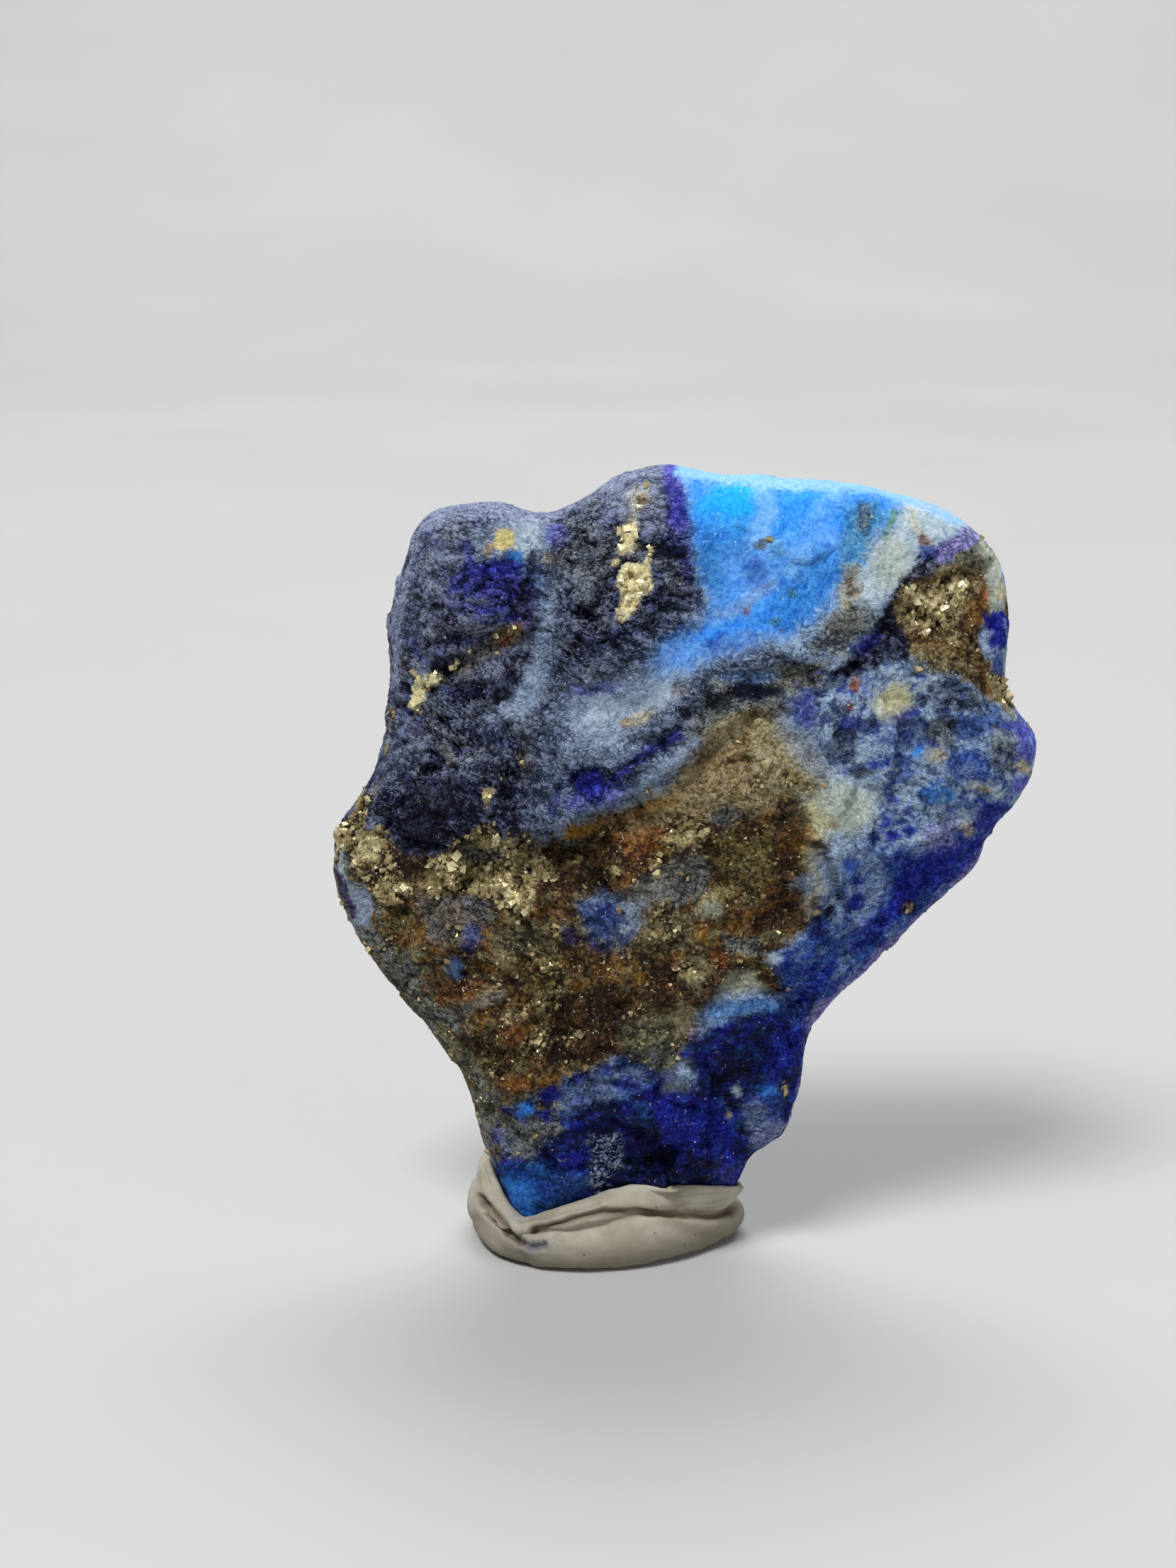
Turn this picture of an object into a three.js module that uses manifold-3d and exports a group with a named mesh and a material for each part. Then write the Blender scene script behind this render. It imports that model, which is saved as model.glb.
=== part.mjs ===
// Rough lapis lazuli standing in a pad of mounting putty.
//
// Millimetres, +Z up, the broad front face towards -Y. The origin is the middle of the
// putty's flat underside. Two pieces: the stone, with its pyrite crystals grown into it,
// and the putty that grips its foot.
//
// The stone is a front and a back sheet over one outline. A point of a sheet lies a
// share g of the way from CENTRE to the outline, and stands off the middle plane by the
// depth of the facets there times (1 - g^n)^(1/n), so the sheets meet in a blunt edge.
// Lumps, grooves and ledges change the depth, and noise roughens the whole skin.

import * as THREE from 'three';
import { mergeVertices } from 'three/addons/utils/BufferGeometryUtils.js';
import Module from 'manifold-3d';

const wasm = await Module();
wasm.setup();

// ---------------------------------------------------------------- driving dimensions

const STONE_HEIGHT = 46;          // top of the stone above the ground
const STONE_LEAN = 0.035;         // the middle plane leans back by this much per millimetre
const SHEET_RINGS = 21;           // rings of triangles from the middle to the edge
const SECTORS = 6;                // triangles round the middle
const FACET_BLEND = 0.35;         // width over which two facets round into each other
const EDGE_POWER_LEFT = 2.9;      // rounder edge on the left lumps
const EDGE_POWER_RIGHT = 4.4;     // blunter edge on the right side
const ROUGH_SIZE = 3.4;           // rounded roughness: spacing and height
const ROUGH_HEIGHT = 0.6;
const CHIP_SIZE = 3.2;            // flat chips broken out of the skin: width and tilt
const CHIP_TILT = 0.28;
const EDGE_CALM = 0.65;           // share of the roughness lost at the outline

const CRYSTAL_SMALL = 0.8;        // edge of the smallest pyrite crystal in the solid
const CRYSTAL_LARGE = 1.6;        // edge of the largest
const CRYSTAL_SINK = 0.22;        // share of its edge that a crystal sits below the skin
const CRYSTAL_SEED = 17;

const PAD_HALF_WIDTH = 8.2;       // putty, widest
const PAD_HALF_DEPTH = 5.95;
const PAD_CENTRE_X = -0.35;
const PAD_WAVE = 0.05;            // its outline bulges at the front left by this share
const PAD_FOOT_SHARE = 0.93;      // flat underside, as a share of the widest outline
const PAD_LIP_HEIGHT = 4.9;       // top of the lip in front of the stone
const PAD_ROLL_HEIGHT = 6.3;      // top of the roll on the left
const PAD_DIP_DEPTH = 2;          // low point of the lip at the front left
const PAD_TURNS = 52;             // facets round the pad
const SEAT_GAP = 0.3;             // between the stone and the putty

// Outline of the stone from the front, clockwise: [x, z].
const OUTLINE = [
  // left side of the upper lump
  [-12.4, 32.8], [-12.2, 35.2], [-12.3, 37.4], [-11.5, 40.2], [-10.5, 42.7],
  // its crest, and the notch beside it
  [-9.3, 43.6], [-6.0, 43.9], [-3.9, 43.3], [-1.4, 44.1],
  // the second crest and the long smooth top
  [0.6, 45.3], [2.9, STONE_HEIGHT], [6.9, 45.4], [12.8, 45.0], [17.5, 44.0],
  [20.0, 42.9], [21.8, 41.0], [22.5, 38.0],
  // right notch and nub
  [22.5, 33.8], [23.2, 32.2], [24.2, 30.9], [24.2, 28.9], [23.4, 27.1], [22.0, 25.2],
  [21.5, 23.5], [20.7, 22.4],
  // straight lower right side
  [18.5, 20.5], [15.8, 17.7], [12.7, 14.7], [11.8, 13.0],
  // neck, and the small step under it
  [11.2, 9.0], [10.4, 6.9], [8.6, 5.9], [7.9, 4.4],
  // foot, inside the putty
  [6.9, 3.0], [4.0, 1.9], [-1.0, 1.5], [-4.4, 1.2], [-5.5, 2.0],
  // lower left side
  [-6.3, 4.0], [-7.3, 6.5], [-8.1, 9.8], [-9.7, 12.5], [-13.4, 17.2], [-15.2, 20.6],
  [-15.7, 23.2], [-15.3, 25.4], [-13.5, 28.1], [-12.8, 30.0],
];
const CENTRE = { x: 3.6, z: 24 };

// Each facet is a plane: its depth at one point, and how that changes along x and z.
const FRONT_FACETS = [
  { x: -2, z: 20, depth: 5.6, slopeX: 0.02, slopeZ: 0.03 },     // brown centre
  { x: 9, z: 40, depth: 4.6, slopeX: -0.04, slopeZ: -0.16 },    // smooth azure face
  { x: 19, z: 32, depth: 4.5, slopeX: -0.2, slopeZ: 0.02 },     // right side
  { x: 15, z: 20, depth: 4.0, slopeX: -0.22, slopeZ: 0.12 },    // lower right side
  { x: 4, z: 8, depth: 4.5, slopeX: -0.03, slopeZ: 0.1 },       // neck
  { x: -11, z: 20, depth: 3.8, slopeX: 0.38, slopeZ: 0.02 },    // left flank
  { x: -7, z: 39, depth: 4.8, slopeX: 0.12, slopeZ: -0.1 },     // dark upper left
];
const BACK_FACETS = [
  { x: 7, z: 36, depth: 4.5, slopeX: 0.03, slopeZ: -0.13 },
  { x: -7, z: 30, depth: 4.3, slopeX: 0.2, slopeZ: 0.03 },
  { x: 16, z: 27, depth: 4.2, slopeX: -0.2, slopeZ: 0.03 },
  { x: 1, z: 18, depth: 5.2, slopeX: -0.04, slopeZ: 0.1 },
  { x: 5, z: 8, depth: 3.9, slopeX: 0.06, slopeZ: 0.11 },
];

// Rounded rises, or hollows where the height is negative: [x, z] radii before the turn.
const FRONT_LUMPS = [
  { x: -8, z: 39.5, radiusX: 4.2, radiusZ: 4, turn: 0, height: 0.9 },      // left lump
  { x: 1, z: 38.5, radiusX: 3.6, radiusZ: 5, turn: 0.2, height: 0.9 },     // second boss
  { x: -10, z: 28.6, radiusX: 4.6, radiusZ: 2.6, turn: -0.1, height: 1 },  // dark lobe
  { x: 1, z: 33.4, radiusX: 6, radiusZ: 1.4, turn: 0.25, height: -0.5 },   // pale hollow
  { x: 18, z: 38.4, radiusX: 2.4, radiusZ: 1.6, turn: 0.3, height: -0.8 }, // crystal hollow
  { x: 22.6, z: 30, radiusX: 2, radiusZ: 2, turn: 0, height: 0.6 },        // right nub
  { x: 17, z: 29, radiusX: 4, radiusZ: 3, turn: 0.3, height: 0.5 },
  { x: 3, z: 24, radiusX: 6, radiusZ: 3.4, turn: 0.3, height: -0.5 },
  { x: -4, z: 14, radiusX: 4, radiusZ: 3, turn: -0.4, height: 0.5 },
  { x: 9, z: 4, radiusX: 1.4, radiusZ: 1.6, turn: 0, height: 0.5 },        // foot nodule
];
const BACK_LUMPS = [
  { x: -8, z: 38, radiusX: 4.5, radiusZ: 4, turn: 0, height: 0.8 },
  { x: 12, z: 33, radiusX: 5, radiusZ: 4, turn: 0.4, height: 0.8 },
  { x: -3, z: 24, radiusX: 6, radiusZ: 2.2, turn: 0.5, height: -0.7 },
  { x: 15, z: 22, radiusX: 3, radiusZ: 2.4, turn: -0.6, height: 0.7 },
  { x: 2, z: 11, radiusX: 4, radiusZ: 2.6, turn: 0.2, height: 0.6 },
  { x: 4, z: 41, radiusX: 2.4, radiusZ: 2.4, turn: 0, height: -0.6 },
];

// Open cracks and valleys.
const FRONT_GROOVES = [
  { path: [[-3.8, 44.5], [-3.4, 40], [-3.5, 36.3], [-6.1, 33.3]], width: 1.5, depth: 1.1 },
  { path: [[-5, 37], [-8.2, 35.6], [-10.6, 33.2]], width: 0.6, depth: 0.8 },
  { path: [[7.4, 34.8], [9, 35], [11, 35.2]], width: 0.6, depth: 0.6 },
];
const BACK_GROOVES = [
  { path: [[-11, 33], [-4, 34], [2, 37]], width: 0.8, depth: 0.8 },
  { path: [[20, 30], [13, 27], [9, 21]], width: 0.9, depth: 0.9 },
];

// Broken ledges: right of the path, walking along it, the skin drops away and eases
// back to its level over the reach.
const FRONT_LEDGES = [
  // the dark plate's lower edge over the pyrite band, and its soft end up to the right
  {
    path: [[-15, 28], [-13.2, 26.6], [-11.4, 25.6], [-8.6, 25.7], [-6.4, 26.6], [-2.8, 26.9]],
    drop: 1.5, reach: 3.6,
  },
  { path: [[-2.8, 26.9], [1.7, 28.6], [5.6, 32], [8.4, 33.4]], drop: 0.7, reach: 2.6 },
  // upper rim of the crystal hollow on the right
  { path: [[12.6, 35.4], [15.4, 38.2], [17.4, 40.4], [20.4, 41]], drop: 0.9, reach: 1.8 },
  // bevel down the neck and along the lower right side
  { path: [[9.2, 5.8], [10.1, 9], [10.7, 12.8], [14, 16.6], [19.6, 22.4]], drop: 1, reach: 3 },
];
const BACK_LEDGES = [
  { path: [[16, 38], [8, 34], [2, 29], [-6, 27], [-13, 29]], drop: 1.3, reach: 4 },
  { path: [[12, 14], [5, 17], [-3, 15], [-9, 16]], drop: 1, reach: 3 },
];

// Clusters of pyrite: middle, half lengths along and across its own turned axis.
const FRONT_CLUSTERS = [
  { x: -13.2, z: 24.6, along: 2.4, across: 1.6, turn: 0.4, count: 13 },
  { x: -7, z: 24.6, along: 4, across: 1.2, turn: 0.1, count: 15 },
  { x: -13.6, z: 27, along: 1.5, across: 0.7, turn: 1, count: 4 },
  { x: 2.6, z: 26.6, along: 3.6, across: 2, turn: 0.4, count: 9 },
  { x: -6, z: 19, along: 5.5, across: 3, turn: -0.3, count: 12 },
  { x: 3.4, z: 20.4, along: 3, across: 2, turn: 0.2, count: 6 },
  { x: 18, z: 39, along: 2, across: 1.1, turn: 0.2, count: 8 },
  { x: 21.4, z: 33.4, along: 1.4, across: 0.4, turn: 1.8, count: 3 },
  { x: 1.8, z: 40.6, along: 1.5, across: 0.7, turn: 1.5, count: 6 },
  { x: 1.6, z: 43.4, along: 1.8, across: 0.3, turn: 1.7, count: 3 },
  { x: -10.2, z: 34, along: 1.4, across: 0.5, turn: 1, count: 4 },
];
const BACK_CLUSTERS = [
  { x: -8, z: 25, along: 5, across: 1.6, turn: 0.2, count: 10 },
  { x: 8, z: 31, along: 3, across: 1.4, turn: 0.6, count: 7 },
  { x: 0, z: 13, along: 3, across: 1.6, turn: -0.2, count: 5 },
];

const FRONT = {
  side: -1, facets: FRONT_FACETS, lumps: FRONT_LUMPS, grooves: FRONT_GROOVES,
  ledges: FRONT_LEDGES, clusters: FRONT_CLUSTERS,
};
const BACK = {
  side: 1, facets: BACK_FACETS, lumps: BACK_LUMPS, grooves: BACK_GROOVES,
  ledges: BACK_LEDGES, clusters: BACK_CLUSTERS,
};

// ---------------------------------------------------------------- small mathematics

// A number from 0 to 1 that stays the same for one seed and call.
function randomSource(seed) {
  let state = seed;
  return () => {
    state = (state + 0x6d2b79f5) | 0;
    let mixed = Math.imul(state ^ (state >>> 15), 1 | state);
    mixed = (mixed + Math.imul(mixed ^ (mixed >>> 7), 61 | mixed)) ^ mixed;
    return ((mixed ^ (mixed >>> 14)) >>> 0) / 2 ** 32;
  };
}

function smoothStep(low, high, value) {
  return THREE.MathUtils.smoothstep(value, low, high);
}

// Mixed 32-bit word of a lattice corner.
function cornerWord(i, j, k) {
  let word = Math.imul(i, 374761393) + Math.imul(j, 668265263) + Math.imul(k, 1440662683);
  word = Math.imul(word ^ (word >>> 13), 1274126177);
  return (word ^ (word >>> 16)) >>> 0;
}

// Gradient noise: at each lattice corner a ramp with a direction of its own, blended
// with 6t^5 - 15t^4 + 10t^3. About -0.7 to 0.7.
function gradientNoise(x, y, z) {
  const cell = [Math.floor(x), Math.floor(y), Math.floor(z)];
  const inside = [x - cell[0], y - cell[1], z - cell[2]];
  const fade = inside.map((t) => t * t * t * (t * (t * 6 - 15) + 10));
  let sum = 0;
  for (let corner = 0; corner < 8; corner += 1) {
    const step = [corner & 1, (corner >> 1) & 1, (corner >> 2) & 1];
    const word = cornerWord(cell[0] + step[0], cell[1] + step[1], cell[2] + step[2]);
    let weight = 1;
    let ramp = 0;
    for (let axis = 0; axis < 3; axis += 1) {
      const slope = ((word >>> (axis * 10)) & 1023) / 511.5 - 1;
      ramp += slope * (inside[axis] - step[axis]);
      weight *= step[axis] ? fade[axis] : 1 - fade[axis];
    }
    sum += ramp * weight;
  }
  return sum;
}

// Height of a chipped skin: every point belongs to the nearest seed of a jittered
// lattice, and lies on that seed's own tilted plane.
function chipHeight(x, y, z) {
  let nearest = Infinity;
  let height = 0;
  for (let step = 0; step < 27; step += 1) {
    const i = Math.floor(x) + (step % 3) - 1;
    const j = Math.floor(y) + (Math.floor(step / 3) % 3) - 1;
    const k = Math.floor(z) + Math.floor(step / 9) - 1;
    const seed = cornerWord(i, j, k);
    const tilt = cornerWord(k, i, j);
    const dx = x - i - (seed & 1023) / 1023;
    const dy = y - j - ((seed >>> 10) & 1023) / 1023;
    const dz = z - k - ((seed >>> 20) & 1023) / 1023;
    const distance = dx * dx + dy * dy + dz * dz;
    if (distance < nearest) {
      nearest = distance;
      height = dx * ((tilt & 1023) / 511.5 - 1)
        + dy * (((tilt >>> 10) & 1023) / 511.5 - 1)
        + dz * (((tilt >>> 20) & 1023) / 511.5 - 1);
    }
  }
  return height;
}

// Distance from a point to a path of straight stretches, positive on its right.
function signedDistance(path, x, z) {
  let nearest = Infinity;
  let sign = 1;
  for (let i = 0; i + 1 < path.length; i += 1) {
    const [ax, az] = path[i];
    const stretchX = path[i + 1][0] - ax;
    const stretchZ = path[i + 1][1] - az;
    const along = ((x - ax) * stretchX + (z - az) * stretchZ) / (stretchX ** 2 + stretchZ ** 2);
    const held = THREE.MathUtils.clamp(along, 0, 1);
    const distance = Math.hypot(x - ax - held * stretchX, z - az - held * stretchZ);
    if (distance < nearest) {
      nearest = distance;
      sign = (x - ax) * stretchZ - (z - az) * stretchX > 0 ? 1 : -1;
    }
  }
  return sign * nearest;
}

// Place of a point in a turned ellipse: below 1 inside.
function ellipseReach({ x, z, turn }, radiusAlong, radiusAcross, px, pz) {
  const along = (px - x) * Math.cos(turn) + (pz - z) * Math.sin(turn);
  const across = (pz - z) * Math.cos(turn) - (px - x) * Math.sin(turn);
  return Math.hypot(along / radiusAlong, across / radiusAcross);
}

// ---------------------------------------------------------------- the stone

const outlineCurve = new THREE.CatmullRomCurve3(
  OUTLINE.map(([x, z]) => new THREE.Vector3(x, 0, z)), true, 'centripetal',
);
const OUTLINE_STEPS = 400;
const outlinePoints = outlineCurve.getSpacedPoints(OUTLINE_STEPS);

// Point of the outline at a place between its steps.
function outlineAt(place) {
  const step = Math.floor(place);
  return outlinePoints[step].clone().lerp(outlinePoints[step + 1], place - step);
}

// Share of the way from CENTRE to the outline at which a point lies.
function outlineShare(x, z) {
  const dx = x - CENTRE.x;
  const dz = z - CENTRE.z;
  for (let i = 0; i < OUTLINE_STEPS; i += 1) {
    const a = outlinePoints[i];
    const b = outlinePoints[i + 1];
    const ax = a.x - CENTRE.x;
    const az = a.z - CENTRE.z;
    const bx = b.x - CENTRE.x;
    const bz = b.z - CENTRE.z;
    const crossA = ax * dz - az * dx;
    const crossB = bx * dz - bz * dx;
    const facing = (ax + bx) * dx + (az + bz) * dz > 0;
    if (facing && crossA * crossB <= 0) {
      const t = crossA / (crossA - crossB);
      return Math.hypot(dx, dz) / Math.hypot(ax + t * (bx - ax), az + t * (bz - az));
    }
  }
  return 0;
}

// How far the bare facets stand off the middle plane, all rounded together.
function facetDepth(face, x, z) {
  let sum = 0;
  for (const facet of face.facets) {
    const depth = facet.depth + facet.slopeX * (x - facet.x) + facet.slopeZ * (z - facet.z);
    sum += Math.exp(-depth / FACET_BLEND);
  }
  return -FACET_BLEND * Math.log(sum);
}

// What lumps, grooves and ledges add to the facets.
function relief(face, x, z) {
  let height = 0;
  for (const lump of face.lumps) {
    const reach = ellipseReach(lump, lump.radiusX, lump.radiusZ, x, z);
    height += lump.height * Math.exp(-reach * reach);
  }
  for (const { path, width, depth } of face.grooves) {
    height -= depth * Math.exp(-((signedDistance(path, x, z) / width) ** 2));
  }
  for (const { path, drop, reach } of face.ledges) {
    const distance = signedDistance(path, x, z);
    height -= drop * smoothStep(-0.25, 0.35, distance) * Math.exp(-((distance / reach) ** 2));
  }
  return height;
}

function middlePlane(z) {
  return STONE_LEAN * (z - CENTRE.z);
}

function skinPoint(face, x, z, share) {
  const power = EDGE_POWER_LEFT
    + (EDGE_POWER_RIGHT - EDGE_POWER_LEFT) * smoothStep(-8, 12, x);
  const rise = Math.max(0, 1 - share ** power) ** (1 / power);
  const depth = (facetDepth(face, x, z) + relief(face, x, z)) * rise;
  return new THREE.Vector3(x, middlePlane(z) + face.side * depth, z);
}

// One sheet as rings of points round CENTRE: ring i has SECTORS * i of them, so the
// triangles stay nearly even from the middle to the edge.
function sheetPositions(face) {
  const positions = skinPoint(face, CENTRE.x, CENTRE.z, 0).toArray();
  for (let ring = 1; ring <= SHEET_RINGS; ring += 1) {
    const share = Math.sin((Math.PI / 2) * (ring / SHEET_RINGS));
    const stride = OUTLINE_STEPS / (SECTORS * ring);
    for (let i = 0; i < SECTORS * ring; i += 1) {
      const edge = outlineAt(i * stride);
      const x = CENTRE.x + share * (edge.x - CENTRE.x);
      const z = CENTRE.z + share * (edge.z - CENTRE.z);
      positions.push(...skinPoint(face, x, z, share).toArray());
    }
  }
  return positions;
}

// In each sector, ring + 1 triangles stand on the outer ring and ring on the inner.
function sheetTriangles(face) {
  const ringPoint = (ring, i) => {
    const start = 1 + (SECTORS * ring * (ring - 1)) / 2;
    return ring === 0 ? 0 : start + (i % (SECTORS * ring));
  };
  const triangles = [];
  for (let ring = 0; ring < SHEET_RINGS; ring += 1) {
    for (let sector = 0; sector < SECTORS; sector += 1) {
      for (let i = 0; i <= ring; i += 1) {
        const inner = sector * ring + i;
        const outer = sector * (ring + 1) + i;
        const standing = [
          ringPoint(ring, inner), ringPoint(ring + 1, outer), ringPoint(ring + 1, outer + 1),
        ];
        triangles.push(...(face.side < 0 ? standing.reverse() : standing));
        if (i < ring) {
          const hanging = [
            ringPoint(ring, inner), ringPoint(ring + 1, outer + 1), ringPoint(ring, inner + 1),
          ];
          triangles.push(...(face.side < 0 ? hanging.reverse() : hanging));
        }
      }
    }
  }
  return triangles;
}

// Both sheets as one closed skin.
function joinSheets() {
  const front = sheetPositions(FRONT);
  const shift = front.length / 3;
  const geometry = new THREE.BufferGeometry();
  const positions = new Float32Array([...front, ...sheetPositions(BACK)]);
  geometry.setAttribute('position', new THREE.BufferAttribute(positions, 3));
  const backTriangles = sheetTriangles(BACK).map((index) => index + shift);
  geometry.setIndex([...sheetTriangles(FRONT), ...backTriangles]);
  return mergeVertices(geometry, 1e-4);
}

// Moves every vertex out along its normal by what the function gives for it.
function pushOut(geometry, amount) {
  geometry.computeVertexNormals();
  const { position, normal } = geometry.attributes;
  for (let i = 0; i < position.count; i += 1) {
    const point = new THREE.Vector3().fromBufferAttribute(position, i);
    const out = new THREE.Vector3().fromBufferAttribute(normal, i);
    point.addScaledVector(out, amount(point));
    position.setXYZ(i, point.x, point.y, point.z);
  }
  geometry.deleteAttribute('normal');
  return geometry;
}

// Roughness of the skin, calmer towards the edge so that the outline keeps its shape.
function roughness(point) {
  const wide = point.clone().divideScalar(ROUGH_SIZE);
  const chip = point.clone().divideScalar(CHIP_SIZE);
  const calm = 1 - EDGE_CALM * smoothStep(0.8, 1, outlineShare(point.x, point.z));
  return calm * (ROUGH_HEIGHT * gradientNoise(wide.x, wide.y, wide.z)
    + CHIP_TILT * CHIP_SIZE * chipHeight(chip.x, chip.y, chip.z));
}

function toSolid(geometry) {
  const merged = mergeVertices(geometry, 1e-4);
  return new wasm.Manifold(new wasm.Mesh({
    numProp: 3,
    vertProperties: new Float32Array(merged.attributes.position.array),
    triVerts: new Uint32Array(merged.index.array),
  }));
}

function toGeometry(solid) {
  const mesh = solid.getMesh();
  const geometry = new THREE.BufferGeometry();
  geometry.setAttribute('position', new THREE.BufferAttribute(mesh.vertProperties, 3));
  geometry.setIndex(new THREE.BufferAttribute(mesh.triVerts, 1));
  return geometry;
}

// A cube or an eight-sided crystal, turned at random and half sunk in the skin.
function crystal(face, cluster, random) {
  const distance = Math.sqrt(random());
  const bearing = 2 * Math.PI * random();
  const along = distance * cluster.along * Math.cos(bearing);
  const across = distance * cluster.across * Math.sin(bearing);
  const x = cluster.x + along * Math.cos(cluster.turn) - across * Math.sin(cluster.turn);
  const z = cluster.z + along * Math.sin(cluster.turn) + across * Math.cos(cluster.turn);
  const edge = CRYSTAL_SMALL + (CRYSTAL_LARGE - CRYSTAL_SMALL) * random() ** 1.6;
  const shape = random() < 0.7
    ? new THREE.BoxGeometry(edge, edge * 0.9, edge * 0.8)
    : new THREE.OctahedronGeometry(edge * 0.72);
  shape.deleteAttribute('normal');
  shape.deleteAttribute('uv');
  const place = skinPoint(face, x, z, Math.min(outlineShare(x, z), 0.995));
  place.y += face.side * (roughness(place) - CRYSTAL_SINK * edge);
  const turn = new THREE.Euler(3 * random(), 3 * random(), 3 * random());
  const matrix = new THREE.Matrix4().compose(
    place, new THREE.Quaternion().setFromEuler(turn), new THREE.Vector3(1, 1, 1),
  );
  return toSolid(shape.applyMatrix4(matrix));
}

function buildSkin() {
  return pushOut(joinSheets(), roughness);
}

function buildStone() {
  const random = randomSource(CRYSTAL_SEED);
  let solid = toSolid(buildSkin());
  for (const face of [FRONT, BACK]) {
    for (const cluster of face.clusters) {
      for (let i = 0; i < cluster.count; i += 1) {
        solid = solid.add(crystal(face, cluster, random));
      }
    }
  }
  return solid;
}

// ---------------------------------------------------------------- the putty

// Half section of the pad, bottom to top: share of the pad's radius, and share of the
// height of the lip there.
const PAD_SECTION = [
  [PAD_FOOT_SHARE, 0], [0.985, 0.1], [1, 0.26], [0.985, 0.44], [0.945, 0.58],
  [0.885, 0.66], [0.9, 0.76], [0.885, 0.88], [0.82, 0.97], [0.72, 1],
];

function padPoint(angle, radiusShare, heightShare) {
  const cos = Math.cos(angle);
  const sin = Math.sin(angle);
  const left = smoothStep(0.8, 0.99, -cos);
  const dip = Math.exp(-(((angle - 1.24 * Math.PI) / 0.3) ** 2));
  const lip = PAD_LIP_HEIGHT + (PAD_ROLL_HEIGHT - PAD_LIP_HEIGHT) * left - PAD_DIP_DEPTH * dip;
  const wave = 1 + PAD_WAVE * Math.sin(3 * angle + 1.13);
  return [
    PAD_CENTRE_X + PAD_HALF_WIDTH * radiusShare * wave * cos,
    PAD_HALF_DEPTH * radiusShare * wave * sin,
    lip * heightShare,
  ];
}

function padGeometry() {
  const positions = [PAD_CENTRE_X, 0, 0];
  for (const [radiusShare, heightShare] of PAD_SECTION) {
    for (let turn = 0; turn < PAD_TURNS; turn += 1) {
      const angle = (2 * Math.PI * turn) / PAD_TURNS;
      positions.push(...padPoint(angle, radiusShare, heightShare));
    }
  }
  positions.push(PAD_CENTRE_X, 0, PAD_LIP_HEIGHT);
  const triangles = [];
  const top = 1 + PAD_SECTION.length * PAD_TURNS;
  const lastRing = top - PAD_TURNS;
  for (let turn = 0; turn < PAD_TURNS; turn += 1) {
    const next = (turn + 1) % PAD_TURNS;
    triangles.push(0, 1 + next, 1 + turn);
    triangles.push(top, lastRing + turn, lastRing + next);
    for (let ring = 0; ring + 1 < PAD_SECTION.length; ring += 1) {
      const below = 1 + ring * PAD_TURNS;
      const above = below + PAD_TURNS;
      triangles.push(below + turn, below + next, above + next);
      triangles.push(below + turn, above + next, above + turn);
    }
  }
  const geometry = new THREE.BufferGeometry();
  geometry.setAttribute('position', new THREE.Float32BufferAttribute(positions, 3));
  geometry.setIndex(triangles);
  return geometry;
}

// The pad with the stone's foot, and the gap round it, taken out.
function buildPad() {
  const foot = pushOut(buildSkin(), () => SEAT_GAP);
  return toSolid(padGeometry()).subtract(toSolid(foot));
}

// ---------------------------------------------------------------- the two pieces

const group = new THREE.Group();

const stone = new THREE.Mesh(
  toGeometry(buildStone()),
  new THREE.MeshStandardMaterial({ color: 0x3c5c9c, roughness: 0.75, metalness: 0 }),
);
stone.name = 'lapis_stone';
group.add(stone);

const pad = new THREE.Mesh(
  toGeometry(buildPad()),
  new THREE.MeshStandardMaterial({ color: 0xb2ac9e, roughness: 0.8, metalness: 0 }),
);
pad.name = 'putty_pad';
group.add(pad);

export default group;
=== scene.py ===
"""Rough lapis lazuli standing in a pad of mounting putty.

Sizes are worked out in millimetres, +Z up, the broad front face towards -Y, the origin
in the middle of the putty's flat underside, and go into the meshes in metres. Marks on
the stone are placed in the frame of the front view, 1659 by 2212, as seen from EYE.
"""
import logging
import math
from dataclasses import dataclass, field
from enum import Enum

import bpy
import numpy as np
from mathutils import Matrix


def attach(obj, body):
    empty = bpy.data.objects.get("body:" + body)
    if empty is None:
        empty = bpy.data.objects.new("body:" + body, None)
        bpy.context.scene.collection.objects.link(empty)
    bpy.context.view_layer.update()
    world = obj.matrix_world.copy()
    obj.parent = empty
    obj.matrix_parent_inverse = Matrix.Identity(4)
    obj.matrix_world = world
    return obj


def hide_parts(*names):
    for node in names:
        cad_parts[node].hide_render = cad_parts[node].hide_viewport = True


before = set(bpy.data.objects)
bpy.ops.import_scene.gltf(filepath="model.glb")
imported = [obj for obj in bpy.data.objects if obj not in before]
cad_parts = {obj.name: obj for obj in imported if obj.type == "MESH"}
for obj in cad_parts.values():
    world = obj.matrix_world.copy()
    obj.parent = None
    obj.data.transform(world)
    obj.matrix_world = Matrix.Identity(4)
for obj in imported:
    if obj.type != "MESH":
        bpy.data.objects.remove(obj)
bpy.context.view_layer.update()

LOG = logging.getLogger("lapis")
METRES = 0.001

Array = np.ndarray
Socket = bpy.types.NodeSocket

# ---- the front view

FRAME_SIZE = (1659, 2212)
FOCAL = 3600.0
HORIZON = 987.0  # height of the horizon above the middle of the frame
EYE = np.array((-1.03, -141.0, 66.5))
EYE_PITCH = math.atan(HORIZON / FOCAL)


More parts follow.
